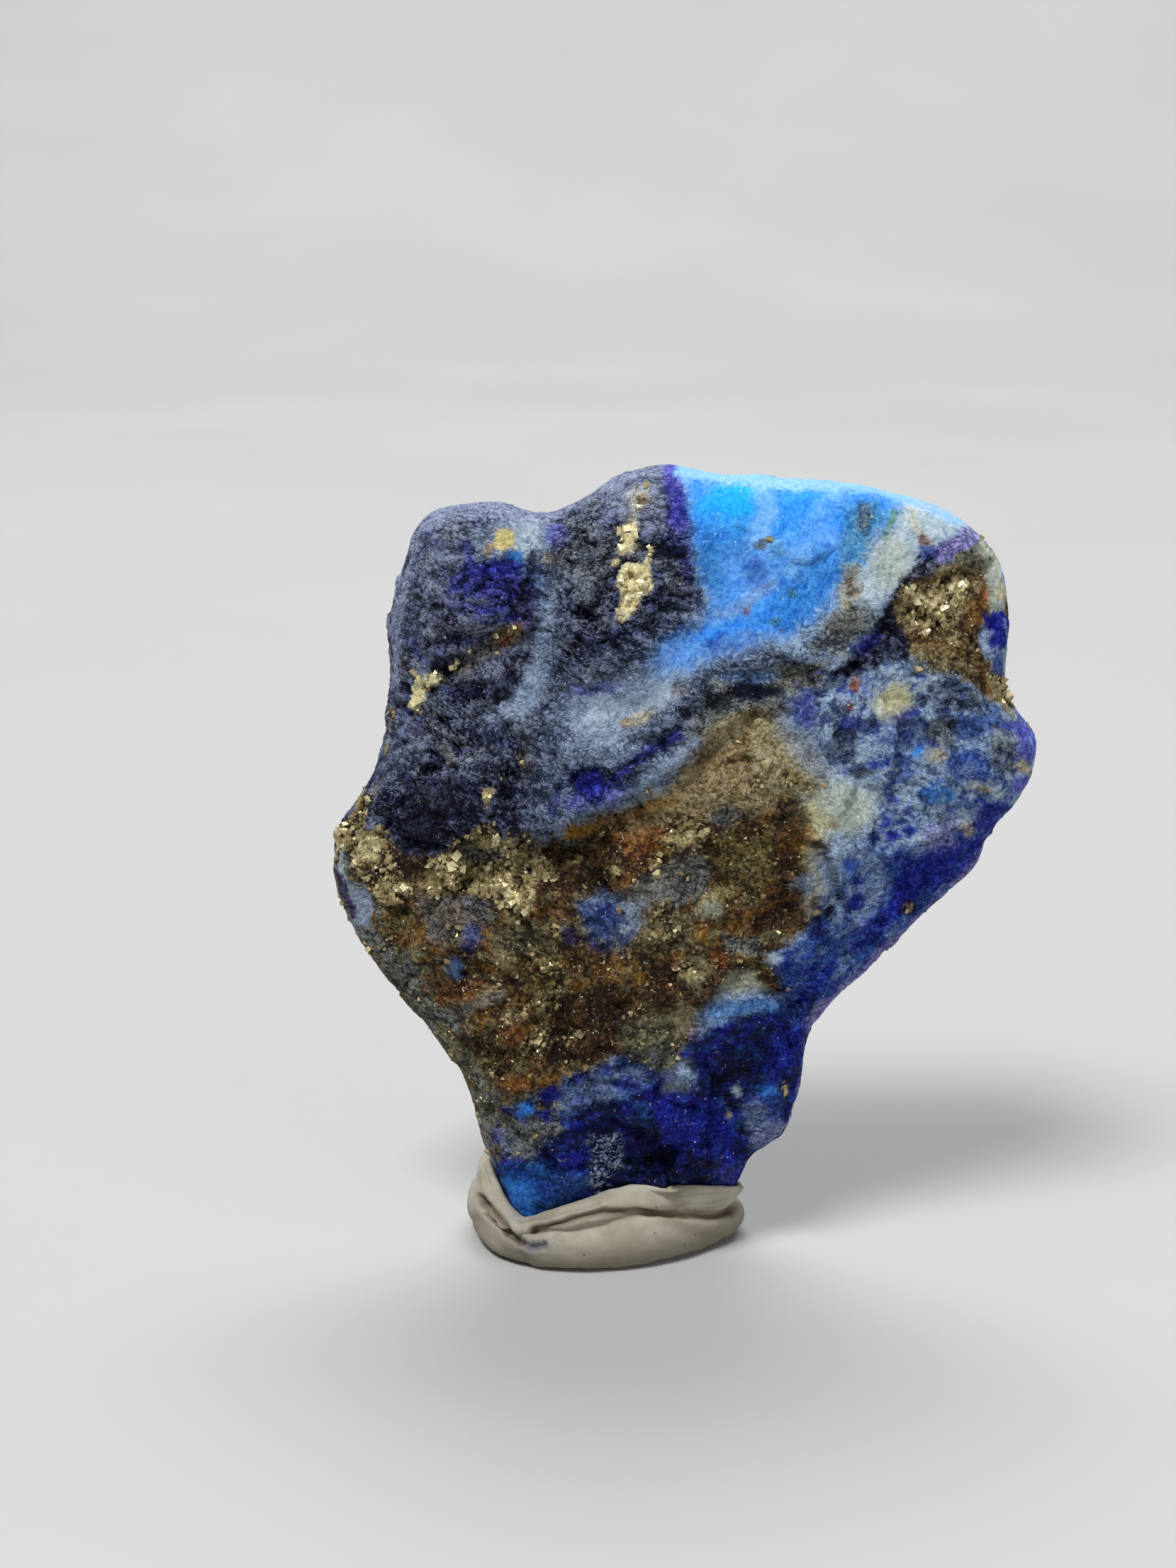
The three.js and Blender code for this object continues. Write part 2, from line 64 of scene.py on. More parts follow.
def sight(points: Array) -> tuple[Array, Array]:
    """Where points appear in the front view.

    The place is the centre of the frame plus FOCAL times the sideways or downward
    distance over the distance along the view.

    Args:
        points: Places in millimetres, one per row.

    Returns:
        Distances from the frame's left and top sides.
    """
    ahead = points - EYE
    cos, sin = math.cos(EYE_PITCH), math.sin(EYE_PITCH)
    depth = ahead[:, 1] * cos - ahead[:, 2] * sin
    down = -ahead[:, 2] * cos - ahead[:, 1] * sin
    across = FRAME_SIZE[0] / 2 + FOCAL * ahead[:, 0] / depth
    return across, FRAME_SIZE[1] / 2 + FOCAL * down / depth


# ---- small mathematics

def smooth_step(low: float, high: float, value: Array) -> Array:
    """Eased step from 0 at low to 1 at high: 3t^2 - 2t^3."""
    t = np.clip((value - low) / (high - low), 0, 1)
    return t * t * (3 - 2 * t)


MIXERS = tuple(map(np.uint32, (374761393, 668265263, 1440662683, 1274126177)))


def corner_word(i: Array, j: Array, k: Array) -> Array:
    """Mixed 32-bit word of each lattice corner, from products with large odd numbers."""
    i, j, k = (np.asarray(v).astype(np.int64).astype(np.uint32) for v in (i, j, k))
    word = i * MIXERS[0] + j * MIXERS[1] + k * MIXERS[2]
    word = (word ^ (word >> np.uint32(13))) * MIXERS[3]
    return word ^ (word >> np.uint32(16))


def bits(word: Array, axis: int) -> Array:
    """Ten bits of a word for an axis, as a number from 0 to 1."""
    return ((word >> np.uint32(10 * axis)) & np.uint32(1023)) / 1023.0


def gradient_noise(points: Array, shift: float = 0.0) -> Array:
    """Gradient noise, about -0.7 to 0.7.

    At each lattice corner a ramp with a direction of its own, blended with
    6t^5 - 15t^4 + 10t^3.

    Args:
        points: Places in lattice steps, one per row.
        shift: Added to every coordinate for another pattern.

    Returns:
        One height per point.
    """
    place = points + shift
    cell = np.floor(place)
    inside = place - cell
    fade = inside ** 3 * (inside * (inside * 6 - 15) + 10)
    total = np.zeros(len(place))
    for corner in range(8):
        step = np.array([corner & 1, (corner >> 1) & 1, (corner >> 2) & 1])
        word = corner_word(*(cell + step).T)
        slopes = np.stack([bits(word, axis) * 2 - 1 for axis in range(3)], axis=1)
        weight = np.where(step, fade, 1 - fade).prod(axis=1)
        total += weight * (slopes * (inside - step)).sum(axis=1)
    return total


def cloud_noise(points: Array, octaves: int, shift: float = 0.0) -> Array:
    """Sum of gradient noises, each twice as fine and half as high as the last."""
    total = np.zeros(len(points))
    for octave in range(octaves):
        total += gradient_noise(points * 2 ** octave, shift + 17.3 * octave) / 2 ** octave
    return total


def chip_height(points: Array) -> Array:
    """Height of a chipped skin.

    Every point belongs to the nearest seed of a jittered lattice, and lies on that
    seed's own tilted plane.
    """
    cell = np.floor(points)
    nearest = np.full(len(points), np.inf)
    height = np.zeros(len(points))
    for step in range(27):
        offset = np.array([step % 3 - 1, step // 3 % 3 - 1, step // 9 - 1])
        i, j, k = (cell + offset).T
        seed, tilt = corner_word(i, j, k), corner_word(k, i, j)
        away = points - cell - offset - np.stack([bits(seed, a) for a in range(3)], axis=1)
        slopes = np.stack([bits(tilt, a) * 2 - 1 for a in range(3)], axis=1)
        distance = (away ** 2).sum(axis=1)
        closer = distance < nearest
        nearest[closer] = distance[closer]
        height[closer] = (away * slopes).sum(axis=1)[closer]
    return height


def path_distance(path: Array, x: Array, z: Array) -> Array:
    """Distance from points to a path of straight stretches, positive on its right."""
    nearest = np.full(len(x), np.inf)
    side = np.ones(len(x))
    for (ax, az), (bx, bz) in zip(path[:-1], path[1:]):
        sx, sz = bx - ax, bz - az
        held = np.clip(((x - ax) * sx + (z - az) * sz) / (sx * sx + sz * sz), 0, 1)
        distance = np.hypot(x - ax - held * sx, z - az - held * sz)
        closer = distance < nearest
        nearest[closer] = distance[closer]
        side[closer] = np.where((x - ax) * sz - (z - az) * sx > 0, 1, -1)[closer]
    return side * nearest


def ellipse_reach(
    x: float, z: float, radius_x: float, radius_z: float, turn: float,
    px: Array, pz: Array,
) -> Array:
    """Place of each point in a turned ellipse: below 1 inside."""
    along = (px - x) * math.cos(turn) + (pz - z) * math.sin(turn)
    across = (pz - z) * math.cos(turn) - (px - x) * math.sin(turn)
    return np.hypot(along / radius_x, across / radius_z)


def closed_curve(knots: Array, count: int) -> Array:
    """Even points along a closed centripetal Catmull-Rom curve.

    Args:
        knots: The points the curve passes through, one per row.
        count: Number of points wanted.

    Returns:
        The points, the first at the first knot.
    """
    def at(t: Array) -> Array:
        """Points of the curve at shares of the way round."""
        place = (t % 1) * len(knots)
        start = np.floor(place).astype(int)
        w = (place - start)[:, None]
        p0, p1, p2, p3 = (knots[(start + step) % len(knots)] for step in (-1, 0, 1, 2))
        d0, d1, d2 = (
            np.sqrt(np.linalg.norm(b - a, axis=1))[:, None]
            for a, b in ((p0, p1), (p1, p2), (p2, p3))
        )
        t1 = ((p1 - p0) / d0 - (p2 - p0) / (d0 + d1) + (p2 - p1) / d1) * d1
        t2 = ((p2 - p1) / d1 - (p3 - p1) / (d1 + d2) + (p3 - p2) / d2) * d1
        c2 = -3 * p1 + 3 * p2 - 2 * t1 - t2
        c3 = 2 * p1 - 2 * p2 + t1 + t2
        return p1 + t1 * w + c2 * w ** 2 + c3 * w ** 3

    coarse = np.linspace(0, 1, 201)
    steps = np.linalg.norm(np.diff(at(coarse), axis=0), axis=1)
    lengths = np.concatenate([[0], np.cumsum(steps)])
    wanted = np.arange(count) / count * lengths[-1]
    return at(np.interp(wanted, lengths, coarse))


# ---- meshes

def make_mesh(
    name: str, points: Array, faces: Array, smooth: bool = True,
) -> bpy.types.Object:
    """Mesh object from whole arrays.

    Args:
        name: Name of the object.
        points: Vertices in millimetres, one per row.
        faces: Vertex numbers, one face per row, all with the same number of corners.
        smooth: Whether the faces are shaded smooth.

    Returns:
        The object, in the scene, at the origin.
    """
    mesh = bpy.data.meshes.new(name)
    corners = faces.shape[1]
    mesh.vertices.add(len(points))
    mesh.vertices.foreach_set("co", (points * METRES).astype(np.float32).ravel())
    mesh.loops.add(faces.size)
    mesh.loops.foreach_set("vertex_index", faces.astype(np.int32).ravel())
    mesh.polygons.add(len(faces))
    mesh.polygons.foreach_set("loop_start", np.arange(0, faces.size, corners, dtype=np.int32))
    mesh.update(calc_edges=True)
    mesh.validate()
    if smooth:
        mesh.shade_smooth()
    else:
        mesh.shade_flat()
    obj = bpy.data.objects.new(name, mesh)
    bpy.context.scene.collection.objects.link(obj)
    return obj


def store(obj: bpy.types.Object, name: str, values: Array) -> None:
    """Keeps one number, or one colour, per vertex on a mesh."""
    if values.ndim == 1:
        layer = obj.data.attributes.new(name, "FLOAT", "POINT")
        layer.data.foreach_set("value", values.astype(np.float32))
        return
    layer = obj.data.attributes.new(name, "FLOAT_COLOR", "POINT")
    alpha = np.ones((len(values), 1))
    layer.data.foreach_set("color", np.hstack([values, alpha]).astype(np.float32).ravel())


def vertex_normals(points: Array, triangles: Array) -> Array:
    """Unit normals, each the sum of the cross products of the triangles round a vertex."""
    a, b, c = (points[triangles[:, corner]] for corner in range(3))
    cross = np.cross(b - a, c - a)
    total = np.zeros_like(points)
    for axis in range(3):
        for corner in range(3):
            total[:, axis] += np.bincount(
                triangles[:, corner], weights=cross[:, axis], minlength=len(points))
    return total / np.maximum(np.linalg.norm(total, axis=1, keepdims=True), 1e-12)


# ---- node materials

def linear(red: float, green: float, blue: float) -> tuple[float, float, float]:
    """A screen colour of 0 to 255 as the linear colour a shader takes."""
    def one(value: float) -> float:
        """One channel, 0 to 255, as linear light."""
        value /= 255
        return value / 12.92 if value <= 0.04045 else ((value + 0.055) / 1.055) ** 2.4
    return one(red), one(green), one(blue)


def opaque(colour: tuple[int, int, int]) -> tuple[float, float, float, float]:
    """A screen colour as a shader's colour with nothing showing through."""
    return (*linear(*colour), 1.0)


class Graph:
    """A material's node tree, put together link by link."""

    def __init__(self, name: str) -> None:
        """Starts an empty tree with its output node."""
        self.material = bpy.data.materials.new(name)
        self.material.use_nodes = True
        self.tree = self.material.node_tree
        self.tree.nodes.clear()
        self.output = self.tree.nodes.new("ShaderNodeOutputMaterial")

    def node(self, kind: str, inputs: dict | None = None, **settings: object) -> bpy.types.Node:
        """Adds a node.

        Args:
            kind: Blender's name of the node, without "ShaderNode".
            inputs: Values or sockets by input name or number.
            settings: Properties of the node.

        Returns:
            The node.
        """
        made = self.tree.nodes.new("ShaderNode" + kind)
        for key, value in settings.items():
            setattr(made, key, value)
        for key, value in (inputs or {}).items():
            if isinstance(value, Socket):
                self.tree.links.new(value, made.inputs[key])
            else:
                made.inputs[key].default_value = value
        return made

    def math(self, operation: str, *values: object, clamp: bool = False) -> Socket:
        """Result of a Math node."""
        made = self.node("Math", dict(enumerate(values)), operation=operation, use_clamp=clamp)
        return made.outputs[0]

    def times(self, a: object, b: object) -> Socket:
        """Product of two numbers."""
        return self.math("MULTIPLY", a, b)

    def plus(self, a: object, b: object, base: object, clamp: bool = False) -> Socket:
        """The base plus the product of two numbers."""
        return self.math("MULTIPLY_ADD", a, b, base, clamp=clamp)

    def mix(self, share: object, a: object, b: object, blend: str = "MIX") -> Socket:
        """Colour between a and b."""
        made = self.node("Mix", {0: share, 6: a, 7: b}, data_type="RGBA", blend_type=blend)
        return made.outputs[2]

    def blend(self, share: object, a: object, b: object) -> Socket:
        """Number between a and b."""
        return self.node("Mix", {0: share, 2: a, 3: b}, data_type="FLOAT").outputs[0]

    def remap(
        self, value: object, low: float, high: float, to_low: float = 0.0, to_high: float = 1.0,
    ) -> Socket:
        """Straight, clamped change of a range of numbers."""
        made = self.node("MapRange", {0: value, 1: low, 2: high, 3: to_low, 4: to_high})
        return made.outputs[0]

    def number(self, name: str) -> Socket:
        """A number kept on the mesh."""
        return self.node("Attribute", attribute_name=name).outputs["Fac"]

    def colour(self, name: str) -> Socket:
        """A colour kept on the mesh."""
        return self.node("Attribute", attribute_name=name).outputs["Color"]

    def millimetres(self) -> Socket:
        """Object coordinates in millimetres."""
        coordinates = self.node("TexCoord").outputs["Object"]
        return self.node("Mapping", {"Vector": coordinates, "Scale": (1000,) * 3}).outputs[0]

    def turned(self, vector: object, tilt: float, scale: tuple) -> Socket:
        """Coordinates turned about Y by a tilt, and scaled."""
        flat = self.node("Mapping", {"Vector": vector, "Rotation": (0, tilt, 0)}).outputs[0]
        return self.node("Mapping", {"Vector": flat, "Scale": scale}).outputs[0]

    def noise(
        self, vector: object, scale: float, detail: float = 3.0, rough: float = 0.55,
    ) -> Socket:
        """Noise, about 0.3 to 0.7."""
        made = self.node("TexNoise", {
            "Vector": vector, "Scale": scale, "Detail": detail, "Roughness": rough})
        return made.outputs[0]

    def warped(
        self, vector: object, onto: object, scale: float, detail: float, reach: float,
    ) -> Socket:
        """Coordinates moved by the three numbers of a noise, each from 0 to the reach."""
        made = self.node("TexNoise", {"Vector": vector, "Scale": scale, "Detail": detail})
        return self.node("VectorMath", {0: made.outputs[1], 1: (reach,) * 3, 2: onto},
                         operation="MULTIPLY_ADD").outputs[0]

    def creases(self, vector: object, scale: float, gain: float) -> Socket:
        """Round lumps of 1 between creases of 0: gain times the noise's distance from half."""
        away = self.math("ABSOLUTE", self.math("SUBTRACT", self.noise(vector, scale, 1.0), 0.5))
        return self.math("MULTIPLY", away, gain, clamp=True)

    def flakes(self, vector: object) -> Socket:
        """Flakes one unit across, each on a tilted plane of its own: its height, -1 to 1."""
        cell = self.cells(vector, 1.0)
        away = self.node("VectorMath", {0: vector, 1: cell.outputs["Position"]},
                         operation="SUBTRACT")
        slope = self.node("VectorMath", {0: cell.outputs["Color"], 1: (2,) * 3, 2: (-1,) * 3},
                          operation="MULTIPLY_ADD")
        return self.node("VectorMath", {0: away.outputs[0], 1: slope.outputs[0]},
                         operation="DOT_PRODUCT").outputs["Value"]

    def joints(self, vector: object, width: float) -> Socket:
        """1 on the joints between those flakes, 0 inside them."""
        edge = self.node("TexVoronoi", {"Vector": vector, "Scale": 1.0, "Randomness": 1.0},
                         feature="DISTANCE_TO_EDGE").outputs["Distance"]
        return self.remap(edge, 0, width, 1, 0)

    def cells(self, vector: object, scale: float) -> bpy.types.Node:
        """Cells of grains: Distance to the middle, Color at random per cell."""
        return self.node("TexVoronoi", {"Vector": vector, "Scale": scale, "Randomness": 1.0})

    def finish(self, shader: bpy.types.Node) -> bpy.types.Material:
        """Joins the shader to the output and hands the material over."""
        self.tree.links.new(shader.outputs[0], self.output.inputs["Surface"])
        return self.material


# ---- minerals

@dataclass(frozen=True)
class Tone:
    """How one mineral of the rock looks.

    Attributes:
        dark: Its deeper colour, 0 to 255.
        light: Its paler colour.
        share: Share of the surface that the paler colour takes.
        crisp: 0 where the two colours melt into each other, 1 where they are grains.
        grain: 0 for a cloudy pattern, 1 for separate grains.
        streak: How far the pattern is drawn out into fibres.
        rough: Height of the broken surface.
        glint_speck: Share of tiny pale specks, painted glints of crystal faces.
        brass: Pyrite crystals on a square millimetre.
        chunk: Edge of those crystals, in millimetres.
        metal: How far the skin itself is pyrite.
    """

    dark: tuple[int, int, int]
    light: tuple[int, int, int]
    share: float = 0.5
    crisp: float = 0.4
    grain: float = 0.3
    streak: float = 0.3
    rough: float = 0.5
    glint_speck: float = 0.05
    brass: float = 0.0
    chunk: float = 0.2
    metal: float = 0.0


class Mineral(Enum):
    """Minerals and stains of the rock."""

    INDIGO = Tone((14, 18, 42), (110, 117, 141), 0.53, 0.62, 0.1, 0.9, 1.0, 0.07)
    STAIN = Tone((8, 10, 62), (56, 62, 166), 0.5, 0.62, 0.1, 0.9, 1.0, 0.04)
    # Pale dust; along the lit rim it also stands for painted sheen.
    DUST_AND_SHEEN = Tone((82, 90, 120), (146, 156, 184), 0.62, 0.4, 0.1, 0.7, 0.6, 0.16)
    NIGHT = Tone((8, 10, 30), (76, 84, 112), 0.42, 0.7, 0.1, 0.9, 0.9, 0.03)
    GASH = Tone((3, 4, 20), (18, 22, 66), 0.35, 0.6, 0.1, 0.7, 0.6, 0.01)
    ROYAL = Tone((10, 12, 110), (44, 58, 190), 0.42, 0.5, 0.3, 0.5, 0.5, 0.03)
    DEEP = Tone((6, 8, 48), (30, 48, 130), 0.42, 0.5, 0.35, 0.4, 0.55, 0.05)
    VIOLET = Tone((52, 50, 156), (108, 110, 216), 0.5, 0.45, 0.2, 0.5, 0.4, 0.03)
    AZURE = Tone((20, 106, 214), (74, 158, 240), 0.5, 0.15, 0.1, 0.35, 0.08, 0.03)
    CYAN = Tone((4, 146, 240), (44, 186, 252), 0.55, 0.1, 0.05, 0.3, 0.08, 0.02)
    SKY = Tone((92, 160, 228), (156, 202, 244), 0.55, 0.1, 0.1, 0.35, 0.1, 0.03)
    FERN = Tone((26, 80, 82), (98, 150, 130), 0.5, 0.4, 0.3, 0.4, 0.25, 0.03)
    LILAC = Tone((80, 76, 138), (152, 148, 204), 0.52, 0.45, 0.3, 0.5, 0.6, 0.06)
    TEAL = Tone((16, 80, 152), (56, 134, 204), 0.5, 0.4, 0.15, 0.5, 0.3, 0.02)
    SLATE = Tone((66, 92, 134), (150, 172, 198), 0.62, 0.5, 0.3, 0.4, 0.5, 0.05)
    BLUE = Tone((14, 38, 108), (62, 98, 174), 0.48, 0.45, 0.3, 0.4, 0.45, 0.03)
    VEIL = Tone((88, 106, 132), (148, 166, 190), 0.58, 0.3, 0.1, 0.7, 0.35, 0.03)
    FOG = Tone((44, 54, 78), (116, 130, 156), 0.52, 0.45, 0.1, 0.8, 0.7, 0.05)
    SALT = Tone((14, 22, 66), (150, 168, 184), 0.4, 0.9, 1.0, 0.1, 0.5, 0.3)
    ASH = Tone((44, 48, 52), (130, 136, 138), 0.52, 0.6, 0.4, 0.5, 0.7, 0.06)
    MILK = Tone((136, 160, 178), (190, 206, 214), 0.55, 0.2, 0.15, 0.4, 0.2, 0.02)
    CREAM = Tone((132, 140, 124), (184, 190, 168), 0.55, 0.3, 0.3, 0.4, 0.3, 0.02)
    BUTTER = Tone((158, 144, 84), (212, 200, 140), 0.55, 0.3, 0.3, 0.3, 0.35, 0.02)
    MOSS = Tone((42, 40, 28), (120, 117, 90), 0.52, 0.6, 0.6, 0.4, 0.6, 0.1, 1.6, 0.14)
    TAN = Tone((106, 90, 56), (186, 176, 140), 0.58, 0.45, 0.5, 0.4, 0.4, 0.06, 0.4, 0.13)
    BROWN = Tone((44, 28, 14), (122, 96, 60), 0.46, 0.65, 0.7, 0.3, 0.65, 0.1, 2.0, 0.14)
    UMBER = Tone((22, 14, 10), (86, 60, 38), 0.42, 0.65, 0.7, 0.3, 0.65, 0.08, 1.1, 0.13)
    OLIVE = Tone((38, 32, 14), (110, 100, 58), 0.48, 0.6, 0.7, 0.3, 0.6, 0.09, 1.8, 0.13)
    RUST = Tone((80, 40, 14), (170, 106, 52), 0.47, 0.55, 0.6, 0.3, 0.5, 0.05, 1.0, 0.14)
    AMBER = Tone((66, 42, 12), (142, 102, 46), 0.46, 0.6, 0.6, 0.3, 0.6, 0.07, 1.4, 0.14)
    OCHRE = Tone((104, 70, 16), (170, 128, 48), 0.5, 0.45, 0.5, 0.4, 0.4, 0.03)
    BRASS = Tone((42, 33, 20), (168, 154, 106), 0.5, 0.8, 1.0, 0.1, 0.9, 0.12, 12.0, 0.2, 0.4)
    NUGGET = Tone((150, 138, 98), (238, 230, 186), 0.7, 0.6, 0.5, 0.1, 0.8, 0.1, 18.0, 0.26, 0.7)
    PLUM = Tone((28, 20, 44), (84, 74, 112), 0.45, 0.5, 0.3, 0.5, 0.5, 0.03)


TRAITS = (
    "share", "crisp", "grain", "streak", "rough", "glint_speck", "brass", "chunk", "metal")


def route(text: str) -> Array:
    """Path of a mark, from "x,y" places of the front view."""
    return np.array([place.split(",") for place in text.split()], dtype=float)


@dataclass(frozen=True)
class Patch:
    """A mineral inside a turned ellipse of the front view.

    The cover is full inside and eases to nothing over the softness at its border.
    """

    mineral: Mineral
    x: float
    y: float
    radius_x: float
    radius_y: float
    turn: float = 0.0
    soft: float = 0.35
    strength: float = 1.0

    def cover(self, across: Array, down: Array, _: Array) -> Array:
        """How far the mineral covers each place, 0 to 1."""
        reach = ellipse_reach(
            self.x, self.y, self.radius_x, self.radius_y, -self.turn, across, down)
        return smooth_step(1 + self.soft, 1 - self.soft, reach)


@dataclass(frozen=True)
class Vein:
    """A mineral along a path of the front view.

    Attributes:
        width: How far it reaches to each side of the path.
    """

    mineral: Mineral
    path: str
    width: float
    soft: float = 0.5
    strength: float = 1.0

    def cover(self, across: Array, down: Array, _: Array) -> Array:
        """How far the mineral covers each place, 0 to 1."""
        reach = np.abs(path_distance(route(self.path), across, down)) / self.width
        return smooth_step(1 + self.soft, 1 - self.soft, reach)


@dataclass(frozen=True)
class Ground:
    """A mineral inside a closed path of the front view, soft over a distance."""

    mineral: Mineral
    path: str
    soft: float = 12.0
    strength: float = 1.0

    def cover(self, across: Array, down: Array, _: Array) -> Array:
        """How far the mineral covers each place, 0 to 1.

        A place is inside where a ray from it crosses the path an odd number of times.
        """
        closed = route(self.path + " " + self.path.split()[0])
        distance = np.abs(path_distance(closed, across, down))
        inside = np.zeros(len(across), dtype=bool)
        for (ax, ay), (bx, by) in zip(closed[:-1], closed[1:]):
            if ay == by:
                continue
            crossing = ax + (down - ay) / (by - ay) * (bx - ax)
            inside ^= ((ay > down) != (by > down)) & (across < crossing)
        signed = np.where(inside, distance, -distance)
        return smooth_step(-self.soft, self.soft, signed)


@dataclass(frozen=True)
class Mottle(Ground):
    """Irregular blotches of a mineral all over a ground.

    Attributes:
        size: Spacing of the blotches, in millimetres.
        share: Share of the ground that they cover.
        long: How many times longer than wide they are.
        turn: Rise of their long direction to the right, in radians.
        fade: Softness of their borders.
        pick: Number of the pattern.
    """

    size: float = 1.0
    share: float = 0.3
    long: float = 1.0
    turn: float = 0.0
    fade: float = 0.12
    pick: float = 1.0

    def cover(self, across: Array, down: Array, points: Array) -> Array:
        """How far the mineral covers each place: where a noise passes a level."""
        cover = super().cover(across, down, points)
        near = cover > 0
        x, y, z = points[near].T
        along = (x * math.cos(self.turn) + z * math.sin(self.turn)) / self.long
        over = z * math.cos(self.turn) - x * math.sin(self.turn)
        noise = cloud_noise(np.stack([along, y, over], axis=1) / self.size, 3, 13.7 * self.pick)
        level = 0.75 * (0.5 - self.share)
        cover[near] *= smooth_step(level - self.fade, level + self.fade, noise)
        return cover


def spots(mineral: Mineral, soft: float, text: str) -> list[Patch]:
    """Patches of one mineral, from "x,y,radius_x,radius_y,turn,strength" words."""
    rows = [[float(value) for value in word.split(",")] for word in text.split()]
    return [Patch(mineral, *row[:5], soft, row[5]) for row in rows]


M = Mineral

# Zones that several marks share.
WHOLE = "400,560 1520,560 1520,1850 400,1850"
BACK_BROWN = "470,1020 560,960 700,950 880,1010 1000,1110 950,1250 800,1310 560,1300 440,1200"
UPPER_ROCK = (
    "430,600 945,600 958,700 966,760 978,800 988,840 965,880 925,925 860,962 800,980 "
    "770,1000 762,1040 775,1090 772,1150 755,1184 705,1184 690,1160 655,1178 620,1200 "
    "565,1206 548,1180 520,1165 470,1165 440,1000")
AZURE_FACE = (
    "962,600 1300,600 1290,700 1262,740 1235,790 1190,815 1172,850 1140,878 1100,900 "
    "1050,912 1000,925 975,945 950,962 935,955 960,925 985,890 1002,850 988,800 970,740")
BROWN_CORNER = (
    "1268,838 1300,815 1335,798 1372,790 1392,800 1398,830 1400,862 1385,880 1378,900 "
    "1388,930 1412,950 1428,988 1400,992 1370,962 1330,948 1292,932 1276,900 1262,870")
MIDDLE_RIGHT = (
    "1105,975 1170,930 1250,930 1330,945 1400,985 1480,980 1480,1120 1420,1180 "
    "1330,1200 1240,1190 1230,1120 1170,1080 1110,1030")
BROWN_FACET = (
    "790,1180 850,1155 900,1140 950,1110 985,1070 1000,1030 1040,1002 1085,997 "
    "1105,1030 1150,1060 1172,1100 1150,1140 1135,1180 1148,1220 1136,1262 1144,1300 "
    "1120,1325 1085,1345 1108,1402 "
    "1060,1395 1010,1402 985,1430 950,1460 900,1480 860,1498 790,1525 745,1545 "
    "700,1545 672,1500 640,1450 600,1390 560,1340 470,1270 470,1165 520,1165 548,1180 "
    "565,1206 620,1200 655,1178 690,1160 705,1184 755,1184")
LOWER_RIGHT = (
    "1230,1190 1320,1195 1460,1120 1440,1300 1200,1500 1070,1425 1105,1400 1090,1350 "
    "1135,1325 1150,1290 1185,1240")
FOOT = (
    "700,1565 745,1545 790,1528 860,1500 910,1480 965,1455 990,1428 1060,1408 "
    "1200,1400 1200,1860 600,1860 690,1650")
FLANK = (
    "440,1170 478,1170 500,1235 560,1290 600,1340 620,1400 655,1450 680,1500 705,1545 "
    "790,1528 800,1590 760,1625 710,1640 640,1620 440,1400")
